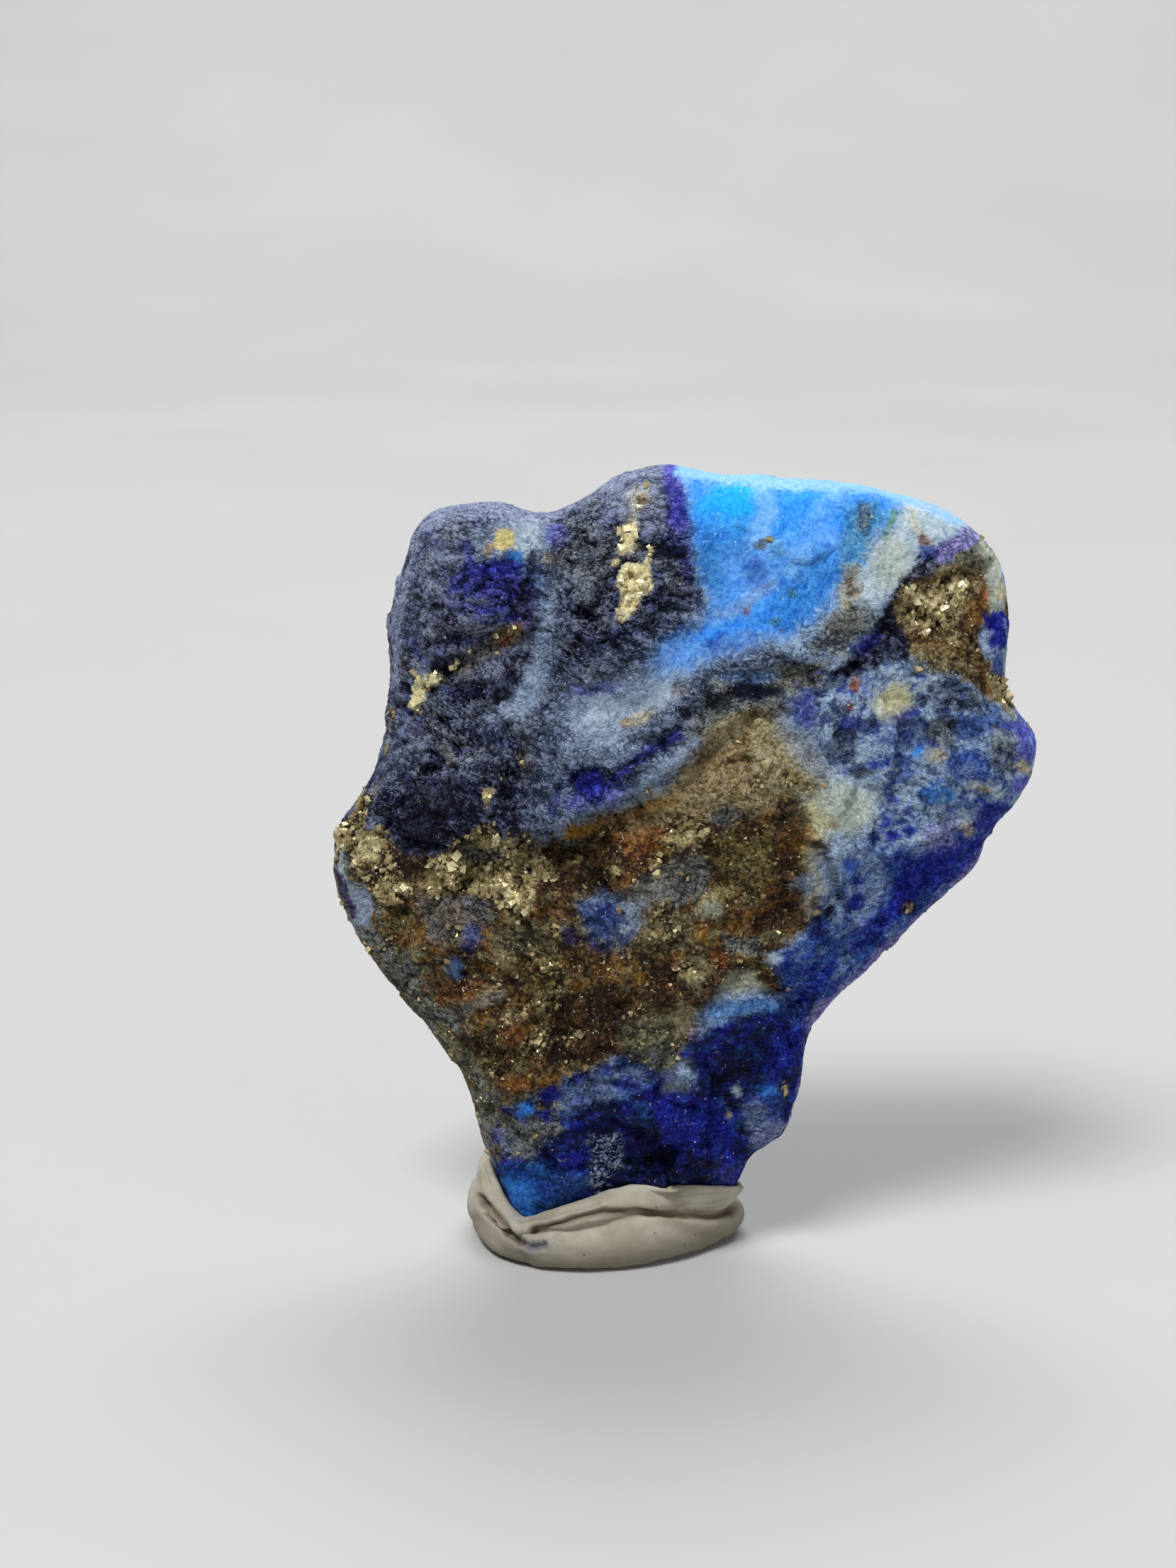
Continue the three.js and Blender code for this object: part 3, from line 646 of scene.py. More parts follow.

# Marks of the front, placed one by one.
FRONT_MARKS = (
    # ---- grounds
    Ground(M.SLATE, WHOLE),
    Ground(M.ASH, (
    "930,1020 960,960 1010,930 1130,935 1170,930 1150,1000 1100,1010 1000,1030 "
    "960,1060"), 14),
    Ground(M.FOG, (
    "735,965 800,950 900,925 960,885 1010,880 1080,905 1140,930 1080,945 1000,960 960,1050 "
    "900,1120 840,1160 790,1190 760,1185 762,1100 745,1040"), 24),
    Ground(M.INDIGO, UPPER_ROCK, 22),
    Ground(M.AZURE, AZURE_FACE, 24),
    Ground(M.MILK, (
    "1285,640 1460,700 1440,840 1400,862 1398,800 1370,762 1340,752 1300,775 1285,800 "
    "1262,838 1230,860 1200,850 1215,800 1236,765 1258,735 1280,700"), 26),
    Ground(M.BROWN, BROWN_FACET, 18),
    Ground(M.BLUE, LOWER_RIGHT, 20),
    Ground(M.DEEP, FOOT, 20),
    Ground(M.MOSS, FLANK, 12),
    # ---- blotches of the grounds
    Mottle(M.NIGHT, UPPER_ROCK, 9, 0.4, 1.1, 0.3, 2.6, -0.1, 0.2, 1),
    Mottle(M.DUST_AND_SHEEN, UPPER_ROCK, 9, 0.3, 0.7, 0.2, 2.2, -0.1, 0.2, 2),
    Mottle(M.ASH, UPPER_ROCK, 9, 0.35, 2.2, 0.3, 1.0, 0.0, 0.2, 3),
    Mottle(M.STAIN, UPPER_ROCK, 9, 0.4, 1.0, 0.24, 2.6, -0.1, 0.2, 24),
    Mottle(M.SKY, AZURE_FACE, 20, 0.4, 2.6, 0.3, 1.8, 0.9, 0.6, 4),
    Mottle(M.TEAL, AZURE_FACE, 20, 0.25, 2.2, 0.22, 1.4, 0.9, 0.6, 5),
    Mottle(M.BLUE, MIDDLE_RIGHT, 14, 0.7, 0.9, 0.36, 1.5, -0.3, 0.16, 6),
    Mottle(M.MILK, MIDDLE_RIGHT, 14, 0.4, 0.9, 0.2, 1.4, 0.3, 0.16, 7),
    Mottle(M.ROYAL, MIDDLE_RIGHT, 14, 0.6, 0.5, 0.15, 1.5, 0.2, 0.12, 8),
    Mottle(M.GASH, MIDDLE_RIGHT, 14, 0.6, 0.5, 0.1, 1.5, 0.3, 0.12, 9),
    Mottle(M.UMBER, BROWN_FACET, 10, 0.85, 1.7, 0.34, 1.3, 0.2, 0.12, 10),
    Mottle(M.AMBER, BROWN_FACET, 10, 0.8, 1.3, 0.26, 1.2, 0.3, 0.12, 11),
    Mottle(M.OLIVE, BROWN_FACET, 10, 0.8, 1.6, 0.28, 1.2, 0.1, 0.12, 12),
    Mottle(M.MOSS, BROWN_FACET, 10, 0.7, 0.8, 0.18, 1.3, 0.2, 0.12, 13),
    Mottle(M.SLATE, LOWER_RIGHT, 14, 0.45, 0.9, 0.25, 1.8, 0.7, 0.16, 14),
    Mottle(M.ROYAL, LOWER_RIGHT, 14, 0.7, 0.8, 0.24, 1.8, 0.75, 0.12, 15),
    Mottle(M.ROYAL, FOOT, 12, 0.8, 1.2, 0.42, 1.2, 0.3, 0.2, 16),
    Mottle(M.TEAL, FOOT, 12, 0.3, 0.7, 0.2, 1.3, 0.2, 0.15, 17),
    Mottle(M.GASH, FOOT, 12, 0.7, 0.9, 0.22, 1.5, 0.1, 0.15, 18),
    Mottle(M.ASH, FLANK, 10, 0.7, 1.3, 0.36, 1.2, -0.8, 0.16, 19),
    Mottle(M.AMBER, FLANK, 10, 0.6, 0.9, 0.14, 1.2, 0.2, 0.1, 20),
    # ---- dark rock of the upper left
    # Pale bands along the left and top rim: dust, with painted sheen where the rim catches the light.
    Vein(M.DUST_AND_SHEEN, "549,960 552,880 562,820 580,760 602,725", 13, 0.7, 0.85),
    Vein(M.DUST_AND_SHEEN, "604,726 640,714 690,712 722,724 752,734", 20, 0.7),
    Vein(M.DUST_AND_SHEEN, "750,730 790,718 840,692 880,668 935,660", 11, 0.6, 0.95),
    Ground(M.DUST_AND_SHEEN, "840,700 880,665 940,655 938,690 900,690 860,704", 8, 0.6),
    Ground(M.DUST_AND_SHEEN, "600,1060 540,1110 535,1050 560,1000 600,1030", 18, 0.4),
    Ground(M.VEIL, "655,750 700,736 785,736 788,765 765,792 700,792 668,790", 16, 0.75),
    Ground(M.MILK, "722,738 752,734 764,752 748,784 728,788", 14, 0.6),
    # Paler rounded top of the lump: dust, with painted light where it faces up.
    Ground(M.DUST_AND_SHEEN, "560,770 600,735 690,730 660,790 640,850 600,900 552,920", 22, 0.3),
    Ground(M.STAIN, "636,824 655,800 688,790 738,790 750,815 742,845 700,850 650,840", 15, 0.8),
    Ground(M.ROYAL, "672,794 735,786 742,806 700,814 676,810", 9, 0.6),
    Mottle(M.STAIN, "615,800 760,790 768,890 700,872 620,860", 16, 0.8,
           0.6, 0.4, 2.5, 0.1, 0.16, 21),
    Vein(M.STAIN, "658,768 662,800", 7, 0.8, 0.7),
    Patch(M.PLUM, 745, 850, 16, 30, 0.1, 0.6, 0.6),
    Patch(M.VIOLET, 785, 755, 16, 18, 0.3, 0.7, 0.5),
    Vein(M.TEAL, "748,800 764,822 764,850", 10, 0.9, 0.4),
    Patch(M.ASH, 825, 790, 40, 60, 0.1, 0.7, 0.5),
    Vein(M.FOG, "762,800 785,830 775,880 770,950", 24, 0.9, 0.6),
    Vein(M.VEIL, "784,826 776,862 768,900 756,948", 6.5, 0.95, 0.7),
    Ground(M.BUTTER, "699,748 713,744 725,750 727,772 714,777 702,779 696,766", 3.5),
    Patch(M.OCHRE, 689, 774, 10, 8, 0.4, 0.6, 0.6),
    Patch(M.TEAL, 727, 785, 12, 7, 0.0, 0.5, 0.9),
    Patch(M.TAN, 772, 788, 13, 9, 0.1, 0.7, 0.5),
    *spots(M.NIGHT, 0.7, "890,905,80,24,.2,.5 930,860,40,20,.5,.5"),
    # Dark along the foot of the dark plate: its own dark rock, and painted shadow where the pyrite band
    # lies recessed under the ledge.
    *spots(M.NIGHT, 0.6, "650,1160,90,30,0,.8 725,1120,44,50,.1,.6"),
    Patch(M.GASH, 620, 1130, 60, 30, 0.2, 0.8, 0.6),
    Patch(M.GASH, 585, 1180, 40, 22, -0.1, 0.7, 0.6),
    Vein(M.GASH, "655,930 636,940 612,950", 5, 0.6),
    Ground(M.GASH, "612,930 640,920 660,926 634,950 606,954", 5, 0.8),
    Vein(M.MOSS, "725,895 700,908 672,925 655,940", 14, 0.8, 0.6),
    Ground(M.RUST, "694,898 708,884 735,876 737,896 720,908 700,912", 6, 0.75),
    Vein(M.BRASS, "700,903 708,892 722,885", 5, 0.6, 0.85),
    Vein(M.NUGGET, "634,941 648,932", 2.6, 0.5),
    Ground(M.NUGGET, (
    "585,944 600,953 613,950 623,953 619,964 607,972 602,985 590,998 578,1002 583,985 "
    "587,966"), 3),
    Vein(M.BRASS, "549,1003 545,1030 541,1056", 6, 0.5),
    Vein(M.GASH, "904,717 925,722 948,728", 2.4, 0.6, 0.8),
    Ground(M.NUGGET, "888,690 900,682 914,686 918,702 909,714 904,724 894,726 886,714 881,702", 4),
    Ground(M.NUGGET, "892,720 903,722 900,745 896,768 889,784 878,774 879,752 886,736", 4),
    *spots(M.NUGGET, 0.4, "866,791,4,7,0,1 876,776,3.5,5,0,1"),
    Vein(M.NUGGET, "917,774 915,788 910,798", 3, 0.5),
    Ground(M.NUGGET, (
    "874,796 886,792 905,797 917,796 918,810 924,820 920,829 907,838 904,850 893,862 "
    "881,874 869,875 871,862 877,850 873,838 870,828 873,812"), 3),
    Patch(M.RUST, 888, 811, 6, 5, 0.0, 0.5, 0.6),
    Vein(M.BRASS, "876,842 896,832 912,826", 2.5, 0.6, 0.8),
    Patch(M.NUGGET, 688, 1121, 7, 8, 0.0, 0.4),
    Patch(M.TAN, 688, 1134, 6, 8, 0.0, 0.6, 0.6),
    Patch(M.NUGGET, 708, 1097, 4, 3, 0.0, 0.4),
    Ground(M.OLIVE, "730,1010 752,1010 757,1085 742,1100 728,1070", 8, 0.65),
    Patch(M.MOSS, 632, 1066, 8, 14, 0.0, 0.7, 0.5),
    # Paler top by the crest: dust, with painted light where it faces up.
    Ground(M.DUST_AND_SHEEN, "845,712 880,688 905,672 932,680 945,740 925,762 905,752 880,730 850,740",
           18, 0.7),
    Ground(M.STAIN, "934,690 962,690 974,740 984,800 975,830 958,800 945,770 938,730", 12, 0.55),
    Ground(M.VIOLET, "934,650 962,648 966,690 968,740 958,754 946,738 940,700", 10, 0.75),
    Vein(M.ROYAL, "958,690 960,725", 7, 0.8, 0.5),
    Ground(M.GASH, "914,768 935,764 966,776 970,789 940,792 918,784", 6, 0.85),
    # ---- pale veils of the middle
    Vein(M.FOG, "748,1180 764,1120 762,1060 748,1010", 20, 0.95, 0.6),
    Vein(M.FOG, "700,1020 770,968 850,945 920,912 975,860", 24, 0.95, 0.5),
    Ground(M.VEIL, "686,1018 722,975 745,945 770,950 766,985 735,1010", 14, 0.9),
    Ground(M.VEIL, "790,990 850,962 910,940 965,905 1000,915 960,975 930,1000 905,1030 "
           "870,1052 830,1058 802,1040", 28, 0.9),
    Vein(M.VEIL, "800,1055 845,1070 880,1062", 16, 0.95, 0.4),
    Vein(M.VEIL, "930,955 985,925 1050,908 1100,906", 16, 0.95, 0.6),
    Vein(M.VEIL, "796,1170 850,1142 905,1112 960,1062", 13, 0.95, 0.6),
    Vein(M.ASH, "800,1185 860,1152 940,1114 985,1062 1010,1018", 13, 0.95, 0.5),
    Patch(M.AZURE, 958, 918, 46, 24, 0.55, 0.9, 0.55),
    Patch(M.ROYAL, 842, 972, 40, 8, 0.1, 0.8, 0.4),
    *spots(M.MILK, 0.9, "852,1006,30,20,.3,.4 935,985,34,14,.5,.4"),
    Patch(M.OCHRE, 882, 1019, 8, 7, 0.2, 0.7, 0.75),
    Patch(M.TAN, 902, 1012, 22, 10, 0.3, 0.7, 0.65),
    *spots(M.VIOLET, 0.9, "862,1120,26,16,.5,.5 815,1132,22,12,.3,.45"),
    Ground(M.STAIN, "798,1100 815,1086 832,1081 856,1095 864,1108 854,1126 838,1138 826,1130 "
           "816,1118 804,1112", 8, 0.95),
    Patch(M.ROYAL, 832, 1108, 20, 14, 0.2, 0.8, 0.6),
    Vein(M.STAIN, "786,1112 778,1150", 6, 0.9, 0.6),
    Vein(M.STAIN, "868,1098 886,1082 902,1066 925,1052 958,1038", 8, 0.8, 0.9),
    Ground(M.NIGHT, "955,1020 970,985 1000,968 1030,985 1005,1005", 14, 0.6),
    Ground(M.GASH, "1022,968 1060,962 1100,966 1104,980 1060,988 1024,982", 5),
    Patch(M.TEAL, 1060, 955, 40, 8, 0.0, 0.8, 0.4),
    Vein(M.VEIL, "738,1000 758,950 772,890 770,840", 14, 0.95, 0.35),
    Vein(M.DUST_AND_SHEEN, "690,940 705,975 700,1010", 15, 0.95, 0.4),
    # Dark rock with painted shadow under the tan patch above it.
    Ground(M.NIGHT, "1128,908 1160,900 1195,906 1190,926 1150,930", 12, 0.6),
    Patch(M.BROWN, 960, 975, 12, 10, 0.0, 0.7, 0.5),
    Patch(M.MOSS, 1120, 955, 26, 14, 0.0, 0.8, 0.6),
    # ---- azure face
    Ground(M.CYAN, "985,690 1180,690 1190,735 1100,760 1000,750", 24, 0.4),
    # Pale band along the top rim of the azure face: painted highlight where the rim catches the light.
    Vein(M.SKY, "962,665 1020,672 1100,680 1200,684 1290,702", 10, 0.8),
    Vein(M.SKY, "1062,680 1085,710 1070,760", 15, 0.9, 0.6),
    Vein(M.SKY, "1180,700 1150,740 1120,800", 16, 0.9, 0.5),
    Ground(M.CYAN, "1006,690 1040,684 1062,688 1062,724 1030,730 1010,714", 10),
    Patch(M.CYAN, 1000, 712, 26, 16, 0.3, 0.8, 0.6),
    Ground(M.TEAL, "976,745 1010,750 1020,800 1018,840 990,825", 18, 0.7),
    Patch(M.TEAL, 1035, 770, 30, 26, 0.3, 0.8, 0.4),
    *spots(M.ROYAL, 0.8, "1066,808,16,22,.4,.4 1010,905,20,9,.6,.55"),
    Ground(M.TEAL, "1105,815 1165,775 1188,815 1160,865 1110,882 1085,860", 26, 0.5),
    Patch(M.AZURE, 1135, 740, 34, 30, 0.0, 0.9, 0.6),
    Patch(M.AZURE, 1205, 720, 46, 22, 0.2, 0.8, 0.6),
    Vein(M.VEIL, "1012,870 1050,850 1090,825", 10, 0.9, 0.4),
    Ground(M.AZURE, "950,925 1010,880 1080,878 1125,895 1060,915 1000,932 960,948", 24, 0.4),
    Patch(M.MOSS, 1076, 766, 12, 7, 0.5, 0.8, 0.7),
    Patch(M.FERN, 1096, 776, 12, 12, 0.5, 0.8, 0.4),
    Ground(M.FERN, "1190,715 1240,700 1250,730 1232,770 1205,815 1180,830 1188,770", 20, 0.5),
    Ground(M.MOSS, "1212,706 1232,712 1228,745 1216,762 1208,740", 8, 0.6),
    Vein(M.FERN, "1248,756 1264,722", 5, 0.8, 0.8),
    Ground(M.TAN, "1190,800 1210,795 1216,830 1200,866 1184,860 1182,825", 12, 0.65),
    Patch(M.AMBER, 1200, 828, 7, 16, 0.2, 0.8, 0.5),
    Patch(M.OCHRE, 1052, 864, 4, 8, 0.3, 0.6, 0.6),
    *spots(M.FERN, 0.7, "1116,835,7,8,0,.7 1093,875,7,6,0,.7"),
    Ground(M.ASH, "1140,915 1180,865 1215,848 1245,868 1235,892 1190,925", 18, 0.85),
    Patch(M.MOSS, 1192, 880, 30, 22, 0.5, 0.8, 0.5),
    # ---- top right
    Patch(M.SKY, 1330, 722, 34, 12, -0.5, 0.8, 0.7),
    Patch(M.CREAM, 1256, 795, 28, 36, 0.5, 0.9, 0.55),
    Ground(M.RUST, "1294,756 1300,752 1318,766 1312,772 1298,770", 4, 0.8),
    Patch(M.BUTTER, 1290, 736, 8, 18, 0.2, 0.7, 0.4),
    Vein(M.INDIGO, "1350,784 1322,788 1298,810 1272,844", 14, 0.6),
    Vein(M.ROYAL, "1305,782 1338,776", 8, 0.7, 0.6),
    Ground(M.NIGHT, "1248,862 1278,840 1292,900 1282,934 1250,932 1214,950 1172,956 1182,934 1228,900", 8),
    Patch(M.GASH, 1262, 862, 14, 14, 0.0, 0.6, 0.8),
    Patch(M.ROYAL, 1222, 906, 20, 10, 0.6, 0.7, 0.6),
    Ground(M.BROWN, BROWN_CORNER, 9),
    Mottle(M.TAN, BROWN_CORNER, 10, 0.65, 0.9, 0.5, 1.4, -0.2, 0.2, 25),
    Ground(M.MOSS, "1345,790 1365,765 1398,765 1402,800 1370,806", 8, 0.9),
    Patch(M.UMBER, 1345, 882, 46, 14, 0.1, 0.8, 0.5),
    Patch(M.AMBER, 1380, 860, 24, 20, -0.4, 0.8, 0.7),
    Patch(M.RUST, 1390, 838, 7, 12, 0.2, 0.6, 0.9),
    Patch(M.AMBER, 1325, 915, 30, 14, -0.1, 0.8, 0.5),
    Patch(M.MOSS, 1322, 938, 40, 14, 0.0, 0.8, 0.6),
    Ground(M.BRASS, (
    "1262,850 1285,826 1318,822 1345,806 1368,812 1374,838 1350,862 1346,895 1330,895 "
    "1320,870 1304,896 1282,882"), 8, 0.9),
    *spots(M.NUGGET, 0.7, "1292,842,15,7,-.2,.85 1350,828,14,11,.5,.85 1318,852,8,6,.5,.7"),
    Vein(M.LILAC, "1332,784 1355,764 1388,746", 13, 0.7, 0.9),
    Vein(M.CREAM, "1398,772 1404,812 1408,850", 14, 0.8, 0.7),
    Vein(M.BUTTER, "1410,790 1414,812 1414,840", 6, 0.7, 0.6),
    Ground(M.ROYAL, "1392,868 1418,862 1420,912 1400,918 1392,900", 6),
    Patch(M.SLATE, 1392, 895, 8, 8, 0.0, 0.6, 0.7),
    Patch(M.BLUE, 1408, 936, 10, 16, 0.0, 0.6, 0.8),
    Ground(M.BRASS, "1392,950 1415,955 1440,1005 1425,1012 1402,985", 6, 0.9),
    # ---- centre right
    Ground(M.VEIL, "1225,940 1285,940 1290,1010 1250,1030 1228,1000", 12, 0.5),
    Ground(M.CREAM, "1236,978 1262,962 1285,966 1288,990 1268,1014 1248,1020 1232,1000", 10, 0.8),
    Patch(M.BUTTER, 1264, 990, 20, 22, 0.4, 0.8, 0.5),
    *spots(M.RUST, 0.6, "1206,964,9,10,.3,.85 1201,997,6,6,.1,.9"),
    Patch(M.VEIL, 1125, 1010, 28, 34, 0.3, 0.5, 0.5),
    Ground(M.ROYAL, "1112,985 1140,982 1155,1010 1150,1030 1122,1020", 14, 0.6),
    Vein(M.NIGHT, "1182,1005 1190,1030 1196,1065", 14, 0.9, 0.6),
    Patch(M.NIGHT, 1215, 1090, 18, 10, 0.0, 0.6, 0.85),
    Patch(M.ROYAL, 1202, 1020, 14, 10, 0.4, 0.6, 0.7),
    Patch(M.GASH, 1231, 1018, 6, 9, 0.0, 0.6, 0.8),
    Patch(M.ROYAL, 1234, 1082, 9, 8, 0.0, 0.6, 0.8),
    Patch(M.BLUE, 1278, 1042, 32, 34, 0.0, 0.9, 0.5),
    Ground(M.NIGHT, "1305,965 1340,955 1400,985 1395,1005 1320,1000", 12, 0.5),
    Patch(M.ROYAL, 1278, 1008, 20, 6, 0.1, 0.7, 0.7),
    Patch(M.BLUE, 1365, 1025, 30, 20, 0.0, 0.7, 0.8),
    Patch(M.ASH, 1328, 1030, 22, 20, 0.0, 0.7, 0.8),
    Patch(M.TAN, 1322, 1065, 16, 12, 0.3, 0.7, 0.7),
    Ground(M.BLUE, "1338,1062 1380,1052 1398,1075 1392,1102 1350,1105 1336,1090", 16, 0.9),
    Patch(M.SLATE, 1362, 1085, 14, 9, 0.2, 0.7, 0.5),
    Patch(M.AZURE, 1293, 1062, 6, 6, 0.0, 0.6, 0.9),
    Ground(M.ASH, "1395,1020 1430,1030 1435,1095 1400,1090", 10, 0.6),
    Ground(M.VIOLET, "1425,1020 1465,1020 1465,1080 1440,1070", 8, 0.8),
    Vein(M.SKY, "1438,1005 1456,1030 1462,1055", 7, 0.6, 0.8),
    Patch(M.TAN, 1444, 1082, 9, 14, 0.3, 0.6, 0.85),
    Patch(M.VIOLET, 1440, 1112, 12, 12, 0.0, 0.6, 0.8),
    Patch(M.TAN, 1385, 1112, 16, 6, 0.0, 0.6, 0.7),
    Patch(M.MILK, 1410, 1124, 12, 8, 0.4, 0.7, 0.5),
    Patch(M.TEAL, 1325, 1120, 24, 12, 0.0, 0.7, 0.7),
    Ground(M.ROYAL, "1370,1135 1425,1125 1410,1165 1395,1182 1380,1165", 14, 0.8),
    Patch(M.TAN, 1366, 1170, 10, 10, 0.2, 0.6, 0.9),
    Patch(M.SLATE, 1300, 1176, 60, 22, 0.3, 0.8, 0.6),
    Ground(M.LILAC, "1300,1165 1350,1155 1352,1205 1300,1212", 14, 0.6),
    *spots(M.ROYAL, 0.5, "1234,1182,8,8,0,1 1261,1181,9,8,0,.95 1282,1174,9,7,.3,.95"),
    Patch(M.TEAL, 1228, 1198, 14, 7, 0.0, 0.7, 0.8),
    Patch(M.ROYAL, 1282, 1146, 8, 7, 0.0, 0.7, 0.6),
    # ---- brown facet
    Ground(M.TAN, (
    "950,1110 985,1070 1005,1028 1045,1005 1090,1000 1110,1030 1160,1065 1165,1100 "
    "1120,1100 1050,1095 1000,1105"), 24, 0.8),
    Mottle(M.AMBER, "860,1170 960,1060 1010,1010 1100,1000 1175,1090 1110,1150 950,1170", 16, 0.55,
           0.55, 0.24, 1.4, 0.2, 0.15, 26),
    Mottle(M.MOSS, "860,1170 960,1060 1010,1010 1100,1000 1175,1090 1110,1150 950,1170", 16, 0.5,
           0.7, 0.2, 1.4, 0.2, 0.15, 27),
    Ground(M.VEIL, "1090,1000 1120,1020 1152,1045 1185,1095 1150,1100 1120,1070 1095,1035",
           18, 0.6),
    Ground(M.TAN, "880,1165 930,1120 980,1090 1060,1080 1120,1095 1110,1140 1040,1150 "
           "960,1150 900,1180", 22, 0.5),
    Ground(M.AMBER, "960,1090 1000,1050 1050,1040 1060,1090 1000,1110", 14, 0.35),
    Ground(M.MILK, "1165,1095 1235,1095 1245,1130 1225,1160 1180,1165 1150,1130", 26, 0.5),
    Ground(M.CREAM, "1122,1120 1180,1105 1235,1120 1222,1165 1170,1200 1135,1195", 26, 0.75),
    Ground(M.BUTTER, "1118,1140 1160,1135 1178,1160 1150,1185 1120,1175", 18, 0.5),
    Ground(M.OCHRE, "1100,1165 1140,1162 1162,1185 1140,1205 1104,1195", 14, 0.75),
    Patch(M.OCHRE, 1177, 1166, 6, 4, 0.0, 0.7, 0.7),
    Ground(M.VEIL, "1150,1195 1190,1178 1212,1205 1192,1262 1170,1292 1142,1295 1142,1230", 22, 0.85),
    Vein(M.TAN, "1152,1190 1138,1222 1157,1252 1140,1290", 11, 0.9, 0.6),
    Ground(M.UMBER, "1090,1130 1124,1120 1144,1160 1122,1198 1144,1236 1126,1272 1140,1306 1060,1312 "
           "1040,1295 1080,1270 1092,1190", 18, 0.8),
    Vein(M.AMBER, "1050,1290 1080,1283 1108,1268", 4, 0.7, 0.9),
    Patch(M.SLATE, 1136, 1246, 15, 10, 0.4, 0.9, 0.6),
    *spots(M.BROWN, 0.9, "1158,1277,15,12,.4,.6 1160,1196,13,18,.2,.5"),
    Ground(M.OLIVE, "1000,1190 1080,1180 1085,1240 1070,1275 1010,1270", 14, 0.7),
    Ground(M.ASH, "885,1252 930,1224 970,1204 1004,1208 996,1255 960,1280 910,1272", 20, 0.75),
    Patch(M.ASH, 1022, 1152, 24, 14, 0.2, 0.7, 0.7),
    Patch(M.CREAM, 1000, 1280, 18, 16, 0.2, 0.8, 0.6),
    Ground(M.RUST, "870,1185 905,1160 945,1165 930,1190 920,1235 880,1215", 20, 0.5),
    Ground(M.RUST, "1000,1345 1025,1340 1030,1365 1005,1370", 6, 0.7),
    Patch(M.OCHRE, 990, 1322, 8, 12, 0.0, 0.6, 0.8),
    Ground(M.UMBER, "765,1195 830,1195 880,1215 880,1250 800,1262 760,1240", 10, 0.8),
    Patch(M.OCHRE, 820, 1170, 28, 10, 0.35, 0.7, 0.95),
    Vein(M.OCHRE, "845,1160 900,1146 950,1130", 8, 0.8, 0.6),
    Ground(M.UMBER, "1000,1370 1040,1355 1110,1402 1090,1405 1050,1380", 5, 0.8),
    Ground(M.ASH, "1020,1322 1070,1320 1080,1345 1030,1345", 8, 0.7),
    Ground(M.UMBER, "900,1350 950,1350 960,1395 985,1415 930,1425 890,1400", 10, 0.85),
    Ground(M.UMBER, "790,1420 860,1380 900,1420 900,1465 850,1495 770,1500 760,1475", 12, 0.85),
    Ground(M.RUST, "605,1388 690,1385 700,1400 620,1415", 8, 0.5),
    Ground(M.UMBER, "600,1380 690,1378 740,1392 700,1402 610,1405", 8, 0.6),
    *spots(M.RUST, 0.9, "728,1460,22,14,.1,.55 725,1530,26,11,.1,.55"),
    Patch(M.OCHRE, 903, 1384, 7, 10, 0.0, 0.7, 0.6),
    Vein(M.ASH, "640,1432 670,1418 705,1404", 10, 0.9, 0.5),
    Ground(M.MOSS, "960,1350 1000,1345 1000,1390 960,1392", 10, 0.8),
    Ground(M.CREAM, "1005,1400 1030,1370 1060,1368 1085,1395 1050,1402", 8, 0.6),
    Ground(M.MOSS, "880,1275 980,1290 990,1340 900,1345 850,1335", 14, 0.6),
    Ground(M.MOSS, "690,1310 780,1300 780,1345 700,1350", 14, 0.7),
    Ground(M.ASH, "590,1265 690,1255 700,1290 650,1330 600,1335", 24, 0.6),
    Patch(M.NIGHT, 664, 1274, 24, 12, 0.0, 0.8, 0.4),
    Ground(M.SLATE, "815,1275 850,1260 910,1272 905,1305 872,1340 832,1325", 22, 0.7),
    Ground(M.BLUE, "822,1274 866,1268 876,1296 860,1324 836,1322 824,1300", 18, 0.7),
    Patch(M.DEEP, 858, 1284, 15, 11, 0.2, 0.8, 0.7),
    Mottle(M.DEEP, "815,1262 880,1258 905,1300 880,1345 820,1335", 14, 0.7, 0.6, 0.3, 1.2, 0.6, 0.15, 28),
    Patch(M.PLUM, 803, 1320, 12, 15, 0.0, 0.5, 0.95),
    Patch(M.BLUE, 665, 1318, 13, 20, 0.1, 0.9, 0.5),
    Patch(M.DEEP, 661, 1338, 10, 8, 0.0, 0.8, 0.7),
    Patch(M.TEAL, 642, 1366, 10, 16, 0.1, 0.9, 0.55),
    # ---- pyrite of the brown facet
    Ground(M.BRASS, (
    "478,1165 500,1172 530,1168 548,1180 558,1204 585,1216 620,1204 650,1190 665,1170 "
    "690,1158 702,1180 728,1186 748,1178 758,1196 790,1236 760,1248 750,1288 730,1300 "
    "700,1284 688,1268 650,1258 615,1262 590,1252 560,1272 535,1272 522,1250 505,1236 "
    "492,1200"), 7),
    Ground(M.UMBER, "558,1208 600,1212 620,1222 600,1246 570,1244", 7, 0.8),
    Ground(M.ASH, "648,1198 690,1192 716,1200 712,1214 660,1214", 5, 0.85),
    Patch(M.NUGGET, 716, 1258, 26, 10, -0.3, 0.7, 0.4),
    Patch(M.NUGGET, 520, 1196, 18, 22, 0.3, 0.6, 0.5),
    Ground(M.BRASS, "528,1096 508,1104 488,1132 470,1168 466,1206 502,1196 516,1160 522,1128", 6),
    Patch(M.CREAM, 524, 1105, 7, 14, 0.5, 0.6, 0.6),
    Ground(M.BRASS, "930,1192 940,1170 970,1150 1000,1150 998,1185 960,1196", 8, 0.75),
    Patch(M.NUGGET, 975, 1180, 9, 6, 0.0, 0.5, 0.9),
    *spots(M.BRASS, 0.7, (
    "925,1215,26,12,.3,.6 1062,1110,13,7,.2,.8 1112,1098,8,12,0,.7 812,1210,14,8,0,.8 "
    "868,1215,9,20,-.3,.5 935,1285,22,16,.3,.45 925,1320,30,12,.2,.35 "
